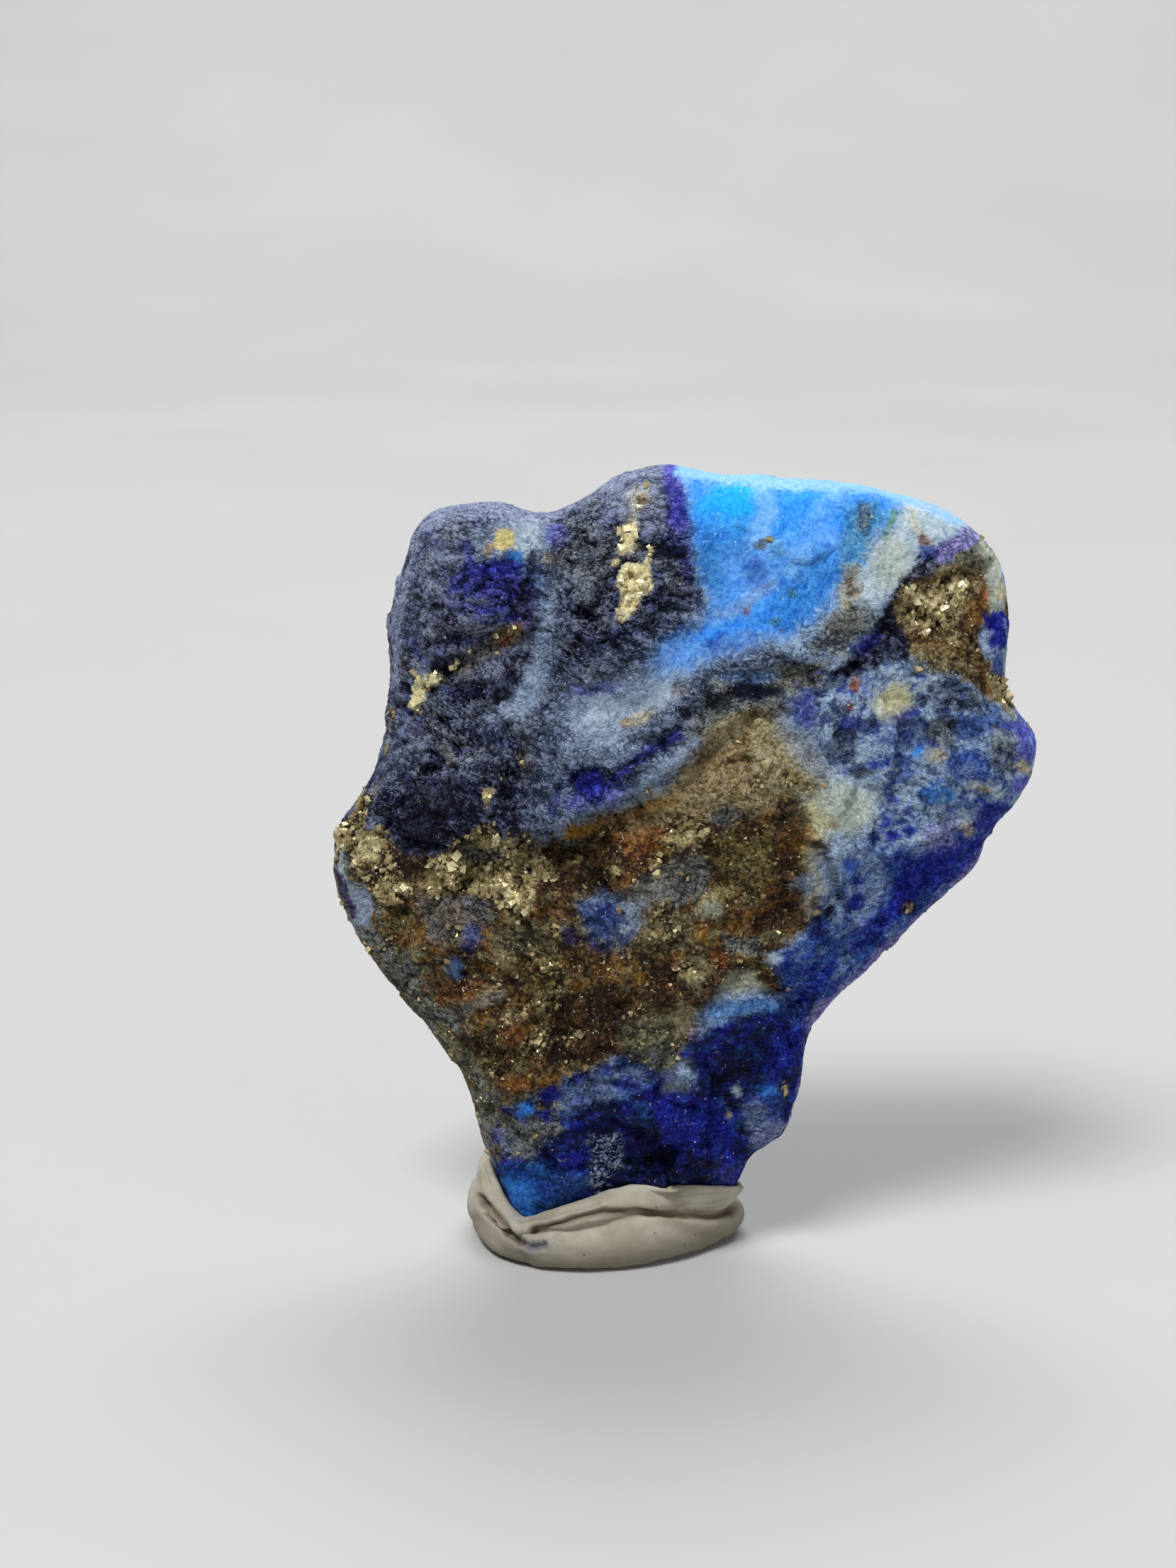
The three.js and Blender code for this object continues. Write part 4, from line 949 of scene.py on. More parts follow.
    "1015,1262,30,10,.3,.55 975,1370,24,12,.2,.6")),
    Patch(M.BRASS, 770, 1362, 24, 20, 0.3, 0.9, 0.45),
    *spots(M.BRASS, 0.7, "712,1355,18,12,.3,.65 695,1396,22,7,.2,.6"),
    Patch(M.BRASS, 775, 1405, 26, 14, 0.3, 0.9, 0.45),
    Patch(M.BRASS, 722, 1430, 22, 9, 0.2, 0.7, 0.5),
    Patch(M.BRASS, 765, 1466, 26, 20, 0.4, 0.9, 0.45),
    *spots(M.BRASS, 0.7, (
    "810,1462,14,9,.4,.6 782,1310,9,7,0,.7 535,1335,14,12,.4,.7 690,1500,16,16,0,.4")),
    # ---- left flank
    Ground(M.AMBER, "545,1312 600,1302 612,1335 560,1340", 10, 0.6),
    Vein(M.MILK, "476,1185 474,1215 482,1240", 8, 0.7, 0.7),
    Vein(M.PLUM, "478,1240 486,1264 498,1290", 7, 0.6),
    Ground(M.VEIL, "492,1245 515,1250 528,1275 522,1305 502,1300", 6, 0.8),
    Ground(M.ASH, "505,1305 540,1320 580,1380 640,1440 600,1440 520,1340", 12, 0.5),
    # ---- lower right
    Ground(M.SLATE, "1165,1175 1235,1185 1255,1240 1240,1300 1180,1320 1160,1270", 20, 0.6),
    Patch(M.AZURE, 1198, 1222, 12, 12, 0.0, 0.7, 0.6),
    Patch(M.ROYAL, 1200, 1222, 14, 12, 0.2, 0.7, 0.6),
    *spots(M.ROYAL, 0.6, "1208,1242,9,8,0,.8 1207,1273,14,10,.3,.9"),
    Patch(M.GASH, 1170, 1287, 9, 8, 0.0, 0.6, 0.85),
    Patch(M.DEEP, 1154, 1310, 16, 16, 0.0, 0.7, 0.9),
    Ground(M.ROYAL, (
    "1300,1208 1345,1192 1390,1180 1384,1215 1352,1236 1312,1256 1272,1290 1232,1326 "
    "1198,1346 1204,1312 1240,1286 1258,1256 1274,1226"), 16, 0.85),
    Mottle(M.BLUE, LOWER_RIGHT, 14, 0.7, 1.1, 0.3, 1.6, 0.8, 0.15, 29),
    Patch(M.UMBER, 1280, 1281, 13, 10, 0.3, 0.6, 0.8),
    Patch(M.BRASS, 1281, 1281, 8, 6, 0.3, 0.5, 0.7),
    Patch(M.MILK, 1090, 1352, 12, 8, 0.0, 0.8, 0.6),
    Patch(M.ROYAL, 1150, 1385, 34, 12, 0.7, 0.7, 0.6),
    # Lilac band along the lower right bevel and foot edge: painted highlight where the rim catches the
    # light.
    Vein(M.LILAC, "1395,1208 1345,1264 1285,1320 1225,1374 1170,1424 1152,1444", 15, 0.6, 0.9),
    Vein(M.LILAC, "1154,1440 1144,1500 1138,1560 1124,1604", 13, 0.7, 0.85),
    # ---- foot
    Ground(M.SLATE, "1000,1416 1050,1402 1110,1406 1105,1424 1040,1434 990,1460 980,1440", 18, 0.7),
    Vein(M.TEAL, "1005,1425 1050,1420 1100,1420", 9, 0.8, 0.6),
    Patch(M.SKY, 1012, 1432, 18, 12, 0.4, 0.9, 0.25),
    # Dark band under the neck's step: painted shade where the neck faces down, over the dark blue of the
    # foot.
    Ground(M.GASH, "1025,1435 1110,1432 1110,1470 1030,1470", 14, 0.5),
    Patch(M.ROYAL, 1105, 1480, 20, 34, 0.0, 0.8, 0.7),
    Ground(M.GASH, "970,1480 1015,1470 1060,1500 1030,1545 975,1555", 12, 0.5),
    Ground(M.SLATE, "1046,1560 1070,1545 1110,1590 1112,1615 1064,1618", 18, 0.6),
    Patch(M.LILAC, 1090, 1598, 30, 18, 0.3, 0.9, 0.5),
    Ground(M.BLUE, "1070,1535 1100,1530 1104,1575 1085,1585", 7, 0.8),
    Patch(M.AZURE, 1086, 1540, 10, 8, 0.0, 0.7, 0.5),
    *spots(M.BUTTER, 0.6, "1027,1573,5,5,0,.9 1108,1536,4,9,0,.8 1118,1578,4,9,0,.7"),
    Patch(M.MILK, 1038, 1538, 6, 8, 0.0, 0.7, 0.7),
    Patch(M.AZURE, 922, 1490, 13, 9, 0.2, 0.6, 0.8),
    Ground(M.MOSS, "870,1445 930,1430 965,1420 970,1470 955,1500 920,1510 880,1490", 9, 0.9),
    Patch(M.TAN, 966, 1438, 20, 26, 0.3, 0.9, 0.6),
    Patch(M.TAN, 1018, 1036, 24, 22, 0.4, 0.9, 0.5),
    Ground(M.CREAM, "925,1505 970,1490 984,1535 940,1545", 14, 0.3),
    Patch(M.SLATE, 968, 1516, 18, 12, 0.4, 0.7, 0.8),
    Ground(M.SLATE, "780,1545 840,1515 905,1505 915,1530 860,1552 790,1570", 20, 0.5),
    Ground(M.TEAL, "700,1650 760,1635 830,1650 815,1710 735,1720", 18, 0.35),
    Patch(M.ROYAL, 885, 1530, 24, 9, 0.0, 0.7, 0.7),
    Patch(M.ROYAL, 776, 1546, 16, 11, 0.2, 0.6, 0.9),
    Patch(M.AZURE, 740, 1566, 13, 10, 0.3, 0.6, 0.85),
    Ground(M.ASH, "700,1580 765,1575 780,1600 750,1635 705,1630", 20, 0.75),
    Patch(M.DEEP, 800, 1610, 40, 14, 0.1, 0.9, 0.5),
    Ground(M.AZURE, "712,1662 735,1658 752,1675 748,1715 722,1700", 14, 0.6),
    Patch(M.BLUE, 800, 1672, 32, 16, 0.0, 0.8, 0.8),
    Patch(M.ROYAL, 800, 1640, 34, 11, 0.0, 0.8, 0.6),
    Ground(M.GASH, "850,1560 960,1590 1010,1640 1010,1690 850,1690", 16, 0.6),
    Ground(M.ROYAL, "910,1545 1010,1545 1040,1600 1030,1640 940,1620", 14, 0.55),
    Ground(M.SALT, "832,1602 878,1600 882,1645 852,1668 846,1692 830,1684", 9, 0.9),
    Patch(M.VIOLET, 1030, 1660, 28, 16, 0.0, 0.8, 0.4),
)

# Marks of the back, also in the frame of the front view, as if the stone were clear.
BACK_MARKS = (
    Ground(M.SLATE, WHOLE),
    Mottle(M.ASH, WHOLE, 20, 0.6, 3.2, 0.3, 1.5, 0.3, 0.25, 31),
    Mottle(M.BLUE, WHOLE, 20, 0.6, 2.6, 0.25, 1.6, 0.5, 0.25, 32),
    Ground(M.INDIGO, "1090,560 1520,560 1520,1000 1350,1010 1240,930 1130,880", 34),
    Ground(M.AZURE, "720,600 1060,600 1100,860 1010,930 900,880 780,800", 40),
    Ground(M.INDIGO, "430,560 690,560 760,780 690,900 520,960 400,960", 30),
    Ground(M.BROWN, BACK_BROWN, 30),
    Ground(M.MOSS, "480,1270 780,1300 900,1400 820,1560 680,1600 560,1420", 34),
    Ground(M.BLUE, "1010,1150 1200,1080 1460,1100 1400,1320 1180,1500 1000,1380", 36),
    Ground(M.ROYAL, "820,1540 1000,1440 1200,1440 1200,1860 600,1860 700,1640", 34),
    Mottle(M.NIGHT, "1090,560 1520,560 1520,1010 1090,960", 20, 0.7, 1.6, 0.3, 1.8, 0.2, 0.15, 33),
    Mottle(M.DUST_AND_SHEEN, "430,560 1520,560 1520,900 430,980", 20, 0.4, 1.1, 0.2, 2.0, 0.2, 0.2, 34),
    Mottle(M.SKY, "720,600 1060,600 1100,900 780,860", 20, 0.5, 2.6, 0.35, 1.8, 0.9, 0.5, 35),
    Mottle(M.TEAL, "720,600 1060,600 1100,900 780,860", 20, 0.6, 1.8, 0.25, 1.6, 0.6, 0.3, 36),
    Mottle(M.UMBER, BACK_BROWN, 20, 0.8, 1.9, 0.35, 1.3, 0.3, 0.15, 37),
    Mottle(M.TAN, BACK_BROWN, 20, 0.7, 1.2, 0.2, 1.3, 0.1, 0.1, 38),
    Mottle(M.BRASS, BACK_BROWN, 20, 0.8, 1.3, 0.2, 1.4, 0.3, 0.1, 39),
    Mottle(M.RUST, BACK_BROWN, 20, 0.6, 0.9, 0.14, 1.2, 0.3, 0.1, 40),
    Mottle(M.ROYAL, "1010,1100 1480,1060 1400,1320 1180,1500 1000,1380", 20, 0.8, 2.0, 0.35, 1.5,
           0.5, 0.2, 41),
    Mottle(M.SLATE, "400,1300 1480,1100 1300,1860 600,1860", 20, 0.7, 1.5, 0.2, 1.6, 0.4, 0.15, 42),
    Mottle(M.TAN, "400,1300 1480,1100 1300,1860 600,1860", 20, 0.5, 0.8, 0.08, 1.2, 0.0, 0.06, 43),
    Mottle(M.NIGHT, "700,1400 1300,1300 1300,1860 600,1860", 20, 0.7, 1.4, 0.25, 1.5, 0.2, 0.15, 44),
    Vein(M.VEIL, "640,930 760,950 830,1000 960,1010 1040,985 1100,1020 1260,960", 24, 0.95, 0.8),
    Vein(M.VEIL, "1040,985 1020,900 1050,820", 13, 0.9, 0.6),
    Vein(M.VEIL, "1180,1370 1100,1400 1000,1420 930,1480 880,1520", 15, 0.95, 0.7),
    Vein(M.MILK, "1010,1150 1050,1230 1020,1300 1040,1400", 14, 0.9, 0.5),
    # Pale band along the top rim: dust, with painted sheen where the rim catches the light.
    Vein(M.DUST_AND_SHEEN, "560,760 620,715 720,735 790,715 880,668 980,650 1150,668 1300,700", 16, 0.8, 0.6),
    Patch(M.CREAM, 980, 690, 70, 22, 0.1, 0.9, 0.6),
    *spots(M.BRASS, 0.8, "660,1190,110,24,.3,.9 1040,1040,60,18,.7,.8 850,1430,60,20,-.2,.7"),
    *spots(M.NUGGET, 0.6, "1180,770,14,34,.2,.9 1200,730,10,14,.6,.9 580,1150,22,12,.3,.8"),
    Patch(M.AMBER, 560, 1080, 40, 14, 0.3, 0.9, 0.7),
    Patch(M.ROYAL, 900, 780, 30, 44, 0.4, 0.9, 0.6),
    Patch(M.VIOLET, 1110, 760, 14, 70, 0.2, 0.9, 0.6),
    Patch(M.BUTTER, 1290, 1050, 26, 14, 0.3, 0.8, 0.8),
    Patch(M.TAN, 1230, 1010, 40, 20, 0.3, 0.9, 0.6),
    Patch(M.GASH, 1000, 1600, 80, 30, 0.3, 0.9, 0.6),
)


@dataclass
class Painter:
    """Lays marks over places of the stone.

    Attributes:
        wander: How far, in the frame of the front view, a border wanders off its mark.
        wander_size: Spacing of that wandering, in millimetres.
        ragged: How far a soft border breaks up into specks.
        ragged_size: Size of those specks, in millimetres.
        dust_size: Size of the finest of them.
        patterns: Number of patterns of specks, which neighbouring marks take in turn.
    """

    wander: float = 9.0
    wander_size: float = 1.0
    ragged: float = 0.5
    ragged_size: float = 0.5
    dust_size: float = 0.19
    patterns: int = 4

    def lay(
        self, points: Array, stray: Array, marks: tuple[Patch | Vein | Ground, ...], pick: float,
    ) -> dict[str, Array]:
        """Tones and traits of the rock at each place.

        Each mark, in order, draws what lies under it towards its own tone by its cover.

        Args:
            points: Places in millimetres.
            stray: How far across and down they are moved in the frame of the marks.
            marks: Patches, veins and grounds, the lowest first.
            pick: Number of the wandering pattern.

        Returns:
            Arrays "dark" and "light" of colours, and one array for each trait.
        """
        across, down = sight(points)
        place = points / self.wander_size
        across = across + stray[:, 0] + self.wander * cloud_noise(place, 3, 3.7 + pick)
        down = down + stray[:, 1] + self.wander * cloud_noise(place, 3, 51.2 + pick)
        laid = {"dark": np.zeros((len(points), 3)), "light": np.zeros((len(points), 3))}
        laid |= {trait: np.zeros(len(points)) for trait in TRAITS}
        breaks = [
            self.ragged * (4 * cloud_noise(points / self.ragged_size, 2, 31.7 * turn + pick)
                           + 2 * gradient_noise(points / self.dust_size, 8.9 * turn + pick))
            for turn in range(1, self.patterns + 1)]
        for number, mark in enumerate(marks):
            cover = mark.cover(across, down, points)
            near = np.flatnonzero(cover > 0)
            cover = cover[near]
            tone = mark.mineral.value
            broken = cover + breaks[number % self.patterns][near] * cover * (1 - cover)
            narrow = 0.5 - 0.4 * tone.crisp
            cover = mark.strength * smooth_step(0.5 - narrow, 0.5 + narrow, broken)
            for side in ("dark", "light"):
                colour = np.array(linear(*getattr(tone, side)))
                laid[side][near] += cover[:, None] * (colour - laid[side][near])
            for trait in TRAITS:
                laid[trait][near] += cover * (getattr(tone, trait) - laid[trait][near])
        return laid


# ---- shape of the stone

OUTLINE = np.array((
    # left side of the upper lump
    (-12.4, 32.8), (-12.2, 35.2), (-12.3, 37.4), (-11.5, 40.2), (-10.5, 42.7),
    # its crest, and the notch beside it
    (-9.3, 43.6), (-6.0, 43.9), (-3.9, 43.3), (-1.4, 44.1),
    # the second crest and the long smooth top
    (0.6, 45.3), (2.9, 46.0), (6.9, 45.4), (12.8, 45.0), (17.5, 44.0),
    (20.0, 42.9), (21.8, 41.0), (22.5, 38.0),
    # right notch and nub
    (22.5, 33.8), (23.2, 32.2), (24.2, 30.9), (24.2, 28.9), (23.4, 27.1), (22.0, 25.2),
    (21.5, 23.5), (20.7, 22.4),
    # straight lower right side
    (18.5, 20.5), (15.8, 17.7), (12.7, 14.7), (11.8, 13.0),
    # neck, and the small step under it
    (11.2, 9.0), (10.4, 6.9), (8.6, 5.9), (7.9, 4.4),
    # foot, inside the putty
    (6.9, 3.0), (4.0, 1.9), (-1.0, 1.5), (-4.4, 1.2), (-5.5, 2.0),
    # lower left side
    (-6.3, 4.0), (-7.3, 6.5), (-8.1, 9.8), (-9.7, 12.5), (-13.4, 17.2), (-15.2, 20.6),
    (-15.7, 23.2), (-15.3, 25.4), (-13.5, 28.1), (-12.8, 30.0),
))


@dataclass(frozen=True)
class Face:
    """One broad face of the stone.

    Attributes:
        side: -1 for the front, 1 for the back.
        facets: Planes: x, z, depth there, and slopes along x and z.
        lumps: Rises or hollows: x, z, radii along x and z, turn, height.
        grooves: Cracks and valleys: path, width, depth.
        ledges: Broken ledges: path, drop on its right, reach.
    """

    side: int
    facets: tuple
    lumps: tuple
    grooves: tuple
    ledges: tuple


FRONT = Face(
    side=-1,
    facets=(
        (-2, 20, 5.6, 0.02, 0.03), (9, 40, 4.6, -0.04, -0.16), (19, 32, 4.5, -0.2, 0.02),
        (15, 20, 4.0, -0.22, 0.12), (4, 8, 4.5, -0.03, 0.1), (-11, 20, 3.8, 0.38, 0.02),
        (-7, 39, 4.8, 0.12, -0.1)),
    lumps=(
        (-8, 39.5, 4.2, 4, 0, 0.9), (1, 38.5, 3.6, 5, 0.2, 0.9),
        (-10, 28.6, 4.6, 2.6, -0.1, 1), (1, 33.4, 6, 1.4, 0.25, -0.5),
        (18, 38.4, 2.4, 1.6, 0.3, -0.8), (22.6, 30, 2, 2, 0, 0.6), (17, 29, 4, 3, 0.3, 0.5),
        (3, 24, 6, 3.4, 0.3, -0.5), (-4, 14, 4, 3, -0.4, 0.5), (9.2, 6.6, 1.3, 1.3, 0, 0.4)),
    grooves=(
        (((-3.8, 44.5), (-3.4, 40), (-3.5, 36.3), (-6.1, 33.3)), 1.5, 1.1),
        (((-5, 37), (-8.2, 35.6), (-10.6, 33.2)), 0.6, 0.8),
        (((7.4, 34.8), (9, 35), (11, 35.2)), 0.6, 0.6)),
    ledges=(
        (((-15, 28), (-13.2, 26.6), (-11.4, 25.6), (-8.6, 25.7), (-6.4, 26.6),
          (-2.8, 26.9)), 1.5, 3.6),
        (((-2.8, 26.9), (1.7, 28.6), (5.6, 32), (8.4, 33.4)), 0.7, 2.6),
        (((12.6, 35.4), (15.4, 38.2), (17.4, 40.4), (20.4, 41)), 0.9, 1.8),
        (((9.2, 5.8), (10.1, 9), (10.7, 12.8), (14, 16.6), (19.6, 22.4)), 1, 3)),
)
BACK = Face(
    side=1,
    facets=(
        (7, 36, 4.5, 0.03, -0.13), (-7, 30, 4.3, 0.2, 0.03), (16, 27, 4.2, -0.2, 0.03),
        (1, 18, 5.2, -0.04, 0.1), (5, 8, 3.9, 0.06, 0.11)),
    lumps=(
        (-8, 38, 4.5, 4, 0, 0.8), (12, 33, 5, 4, 0.4, 0.8), (-3, 24, 6, 2.2, 0.5, -0.7),
        (15, 22, 3, 2.4, -0.6, 0.7), (2, 11, 4, 2.6, 0.2, 0.6), (4, 41, 2.4, 2.4, 0, -0.6)),
    grooves=(
        (((-11, 33), (-4, 34), (2, 37)), 0.8, 0.8),
        (((20, 30), (13, 27), (9, 21)), 0.9, 0.9)),
    ledges=(
        (((16, 38), (8, 34), (2, 29), (-6, 27), (-13, 29)), 1.3, 4),
        (((12, 14), (5, 17), (-3, 15), (-9, 16)), 1, 3)),
)


@dataclass
class LapisStone:
    """The stone: two sheets over one outline, joined at its edge.

    Attributes:
        centre: Middle of the sheets' rings, x and z.
        lean: How far the middle plane leans back on each millimetre of height.
        edge_power: Fullness of the edge's rounding at the left and at the right.
        edge_calm: How far the broad roughness fades at the outline.
        quiet: Smooth stretch of the front: x, z, radii along x and z, turn.
        stray: How far marks stray at the outline, in the frame of the front view.
        rim: Shares of the way to the outline between which that sets in.
        crest: Heights between which the crest begins.
        turn: Depths behind the middle plane between which the back's marks take over.
        foot: Heights between which the fine relief sets in above the putty.
    """

    centre: tuple[float, float] = (3.6, 24.0)
    lean: float = 0.035
    front_rings: int = 152
    back_rings: int = 96
    sectors: int = 6
    facet_blend: float = 0.35
    edge_power: tuple[float, float] = (2.9, 4.4)
    rough_size: float = 3.4
    rough_height: float = 0.6
    chip_size: float = 3.2
    chip_tilt: float = 0.28
    edge_calm: float = 0.85
    quiet: tuple[float, ...] = (11.0, 41.0, 7.5, 5.0, -0.1)
    quiet_calm: float = 0.65
    stray: float = 130.0
    stray_size: float = 2.3
    rim: tuple[float, float] = (0.978, 0.999)
    crest: tuple[float, float] = (40.5, 43.0)
    turn: tuple[float, float] = (0.9, 3.2)
    turn_wander: float = 2.4
    turn_size: float = 3.3
    crest_shift: float = 1.3
    grain_tilt: float = -0.12
    grain_wander: float = 0.5
    foot: tuple[float, float] = (3.4, 5.2)
    painter: Painter = field(default_factory=Painter)
    points: Array = field(init=False)
    triangles: Array = field(init=False)
    laid: dict[str, Array] = field(init=False)

    def facet_depth(self, face: Face, x: Array, z: Array) -> Array:
        """How far the bare facets stand off the middle plane.

        The smooth least of their planes: -blend ln(sum of exp(-depth / blend)).
        """
        total = np.zeros(len(x))
        for fx, fz, depth, slope_x, slope_z in face.facets:
            plane = depth + slope_x * (x - fx) + slope_z * (z - fz)
            total += np.exp(-plane / self.facet_blend)
        return -self.facet_blend * np.log(total)

    @staticmethod
    def relief(face: Face, x: Array, z: Array) -> Array:
        """What lumps, grooves and ledges add to the facets.

        A lump adds height exp(-reach^2), a groove takes depth exp(-(d / width)^2), and
        a ledge takes drop exp(-(d / reach)^2) on the right of its path.
        """
        height = np.zeros(len(x))
        for lx, lz, radius_x, radius_z, turn, rise in face.lumps:
            height += rise * np.exp(-ellipse_reach(lx, lz, radius_x, radius_z, turn, x, z) ** 2)
        for path, width, depth in face.grooves:
            height -= depth * np.exp(-(path_distance(np.array(path), x, z) / width) ** 2)
        for path, drop, reach in face.ledges:
            distance = path_distance(np.array(path), x, z)
            fall = smooth_step(-0.25, 0.35, distance) * np.exp(-(distance / reach) ** 2)
            height -= drop * fall
        return height

    def sheet(self, face: Face, outline: Array, rings: int) -> tuple[Array, Array]:
        """One sheet as rings of points round the centre.

        Ring r of N lies a share sin(pi/2 r/N) of the way to the outline and has 6r
        points. A point stands off the middle plane by the facets and the relief times
        (1 - share^n)^(1/n).

        Args:
            face: The face.
            outline: Even points of the closed outline, the first one again at the end.
            rings: Number of rings.

        Returns:
            The points and their shares.
        """
        xs, zs, shares = [np.array([self.centre[0]])], [np.array([self.centre[1]])], [np.zeros(1)]
        for ring in range(1, rings + 1):
            share = math.sin(math.pi / 2 * ring / rings)
            count = self.sectors * ring
            place = np.arange(count) / count * (len(outline) - 1)
            edge_x = np.interp(place, np.arange(len(outline)), outline[:, 0])
            edge_z = np.interp(place, np.arange(len(outline)), outline[:, 1])
            xs.append(self.centre[0] + share * (edge_x - self.centre[0]))
            zs.append(self.centre[1] + share * (edge_z - self.centre[1]))
            shares.append(np.full(count, share))
        x, z, share = np.concatenate(xs), np.concatenate(zs), np.concatenate(shares)
        left, right = self.edge_power
        power = left + (right - left) * smooth_step(-8, 12, x)
        rise = np.maximum(0, 1 - share ** power) ** (1 / power)
        depth = (self.facet_depth(face, x, z) + self.relief(face, x, z)) * rise
        y = self.lean * (z - self.centre[1]) + face.side * depth
        return np.stack([x, y, z], axis=1), share

    def sheet_triangles(self, rings: int) -> Array:
        """Triangles of a sheet, seen from +Y the right way round.

        In each sector, ring + 1 triangles stand on the outer ring and ring on the inner.
        """
        made = []
        for ring in range(rings):
            near, far = self.ring_start(ring), self.ring_start(ring + 1)
            near_count, far_count = max(1, self.sectors * ring), self.sectors * (ring + 1)
            sector, i = np.divmod(np.arange(self.sectors * (ring + 1)), ring + 1)
            low, high = sector * ring + i, sector * (ring + 1) + i
            made.append(np.stack([
                near + low % near_count, far + high, far + (high + 1) % far_count], axis=1))
            if ring:
                sector, i = np.divmod(np.arange(self.sectors * ring), ring)
                low, high = sector * ring + i, sector * (ring + 1) + i
                made.append(np.stack([
                    near + low, far + (high + 1) % far_count,
                    near + (low + 1) % near_count], axis=1))
        return np.concatenate(made)

    @staticmethod
    def seam_triangles(near: int, near_count: int, far: int, far_count: int) -> Array:
        """Triangles between two rings with different numbers of points.

        Both rings are walked at once, and each step of one of them makes a triangle with
        the point where the other one stands.

        Args:
            near: Number of the first point of the inner ring.
            near_count: Points of the inner ring.
            far: Number of the first point of the outer ring.
            far_count: Points of the outer ring.

        Returns:
            The triangles.
        """
        times = np.concatenate([
            (np.arange(far_count) + 0.5) / far_count, (np.arange(near_count) + 0.5) / near_count])
        order = np.argsort(times, kind="stable")
        is_far = order < far_count
        stood_far = np.cumsum(is_far) - is_far
        stood_near = np.cumsum(~is_far) - ~is_far
        next_far = far + (stood_far + 1) % far_count
        next_near = near + (stood_near + 1) % near_count
        return np.stack([
            near + stood_near % near_count, far + stood_far % far_count,
            np.where(is_far, next_far, next_near)], axis=1)

    def ring_start(self, ring: int) -> int:
        """Number of the first point of a ring."""
        return 0 if ring == 0 else 1 + self.sectors * ring * (ring - 1) // 2

    def form(self) -> Array:
        """Joins both sheets into one closed skin and gives each vertex its share.

        The back sheet has fewer rings, and its last one is the front's outline.
        """
        outline = closed_curve(OUTLINE, 4 * self.sectors * self.front_rings)
        outline = np.vstack([outline, outline[:1]])
        front, share = self.sheet(FRONT, outline, self.front_rings)
        back, back_share = self.sheet(BACK, outline, self.back_rings)
        inside = self.ring_start(self.back_rings)
        shift = len(front)
        seam = self.seam_triangles(
            shift + self.ring_start(self.back_rings - 1), self.sectors * (self.back_rings - 1),
            self.ring_start(self.front_rings), self.sectors * self.front_rings)
        self.points = np.vstack([front, back[:inside]])
        self.triangles = np.vstack([
            self.sheet_triangles(self.front_rings)[:, ::-1],
            self.sheet_triangles(self.back_rings - 1) + shift, seam])
        return np.concatenate([share, back_share[:inside]])

    def roughen(self, share: Array) -> None:
        """Pushes the skin out along its normals by the rock's broad roughness."""
        calm = 1 - self.edge_calm * smooth_step(0.8, 1, share)
        height = self.rough_height * gradient_noise(self.points / self.rough_size)
        height += self.chip_tilt * self.chip_size * chip_height(self.points / self.chip_size)
        x, y, z = self.points.T
        quiet = np.where(y < 0, np.exp(-ellipse_reach(*self.quiet, x, z) ** 4), 0)
        calm *= 1 - self.quiet_calm * quiet
        normals = vertex_normals(self.points, self.triangles)
        self.points = self.points + normals * (calm * height)[:, None]

    def paint(self, share: Array) -> None:
        """Lays the front's and the back's marks, and blends them over the edge.

        They are laid twice, with borders that wander differently. The finish swaps the
        two colours grain by grain, which frays the borders. Where the skin turns round
        the edge, marks stray from their places, so that none is drawn out along it. The
        front's marks reach over the crest, which shows from above.

        Args:
            share: How far out to the outline each vertex lies.
        """
        crest = smooth_step(*self.crest, self.points[:, 2])
        edge = (smooth_step(*self.rim, share) * (1 - crest))[:, None]
        stray = self.stray * edge * np.stack([
            cloud_noise(self.points / self.stray_size, 2, pick) for pick in (7.1, 19.3)], axis=1)
        behind = self.points[:, 1] - self.lean * (self.points[:, 2] - self.centre[1])
        behind += self.turn_wander * gradient_noise(self.points / self.turn_size, 9.1)
        turn = smooth_step(*self.turn, behind - self.crest_shift * crest)
        faces = (
            (np.flatnonzero(turn < 1), FRONT_MARKS), (np.flatnonzero(turn > 0), BACK_MARKS))
        self.laid = {}
        for mark, pick in (("", 0.0), ("_2", 77.7)):
            for number, (near, marks) in enumerate(faces):
                part = turn[near] if number else 1 - turn[near]
                for name, values in self.painter.lay(
                        self.points[near], stray[near], marks, pick).items():
                    shape = (len(self.points), 3) if values.ndim == 2 else len(self.points)
                    whole = self.laid.setdefault(name + mark, np.zeros(shape))
                    whole[near] += values * (part[:, None] if values.ndim == 2 else part)
        for trait in TRAITS:
            self.laid[trait] = (self.laid[trait] + self.laid.pop(trait + "_2")) / 2

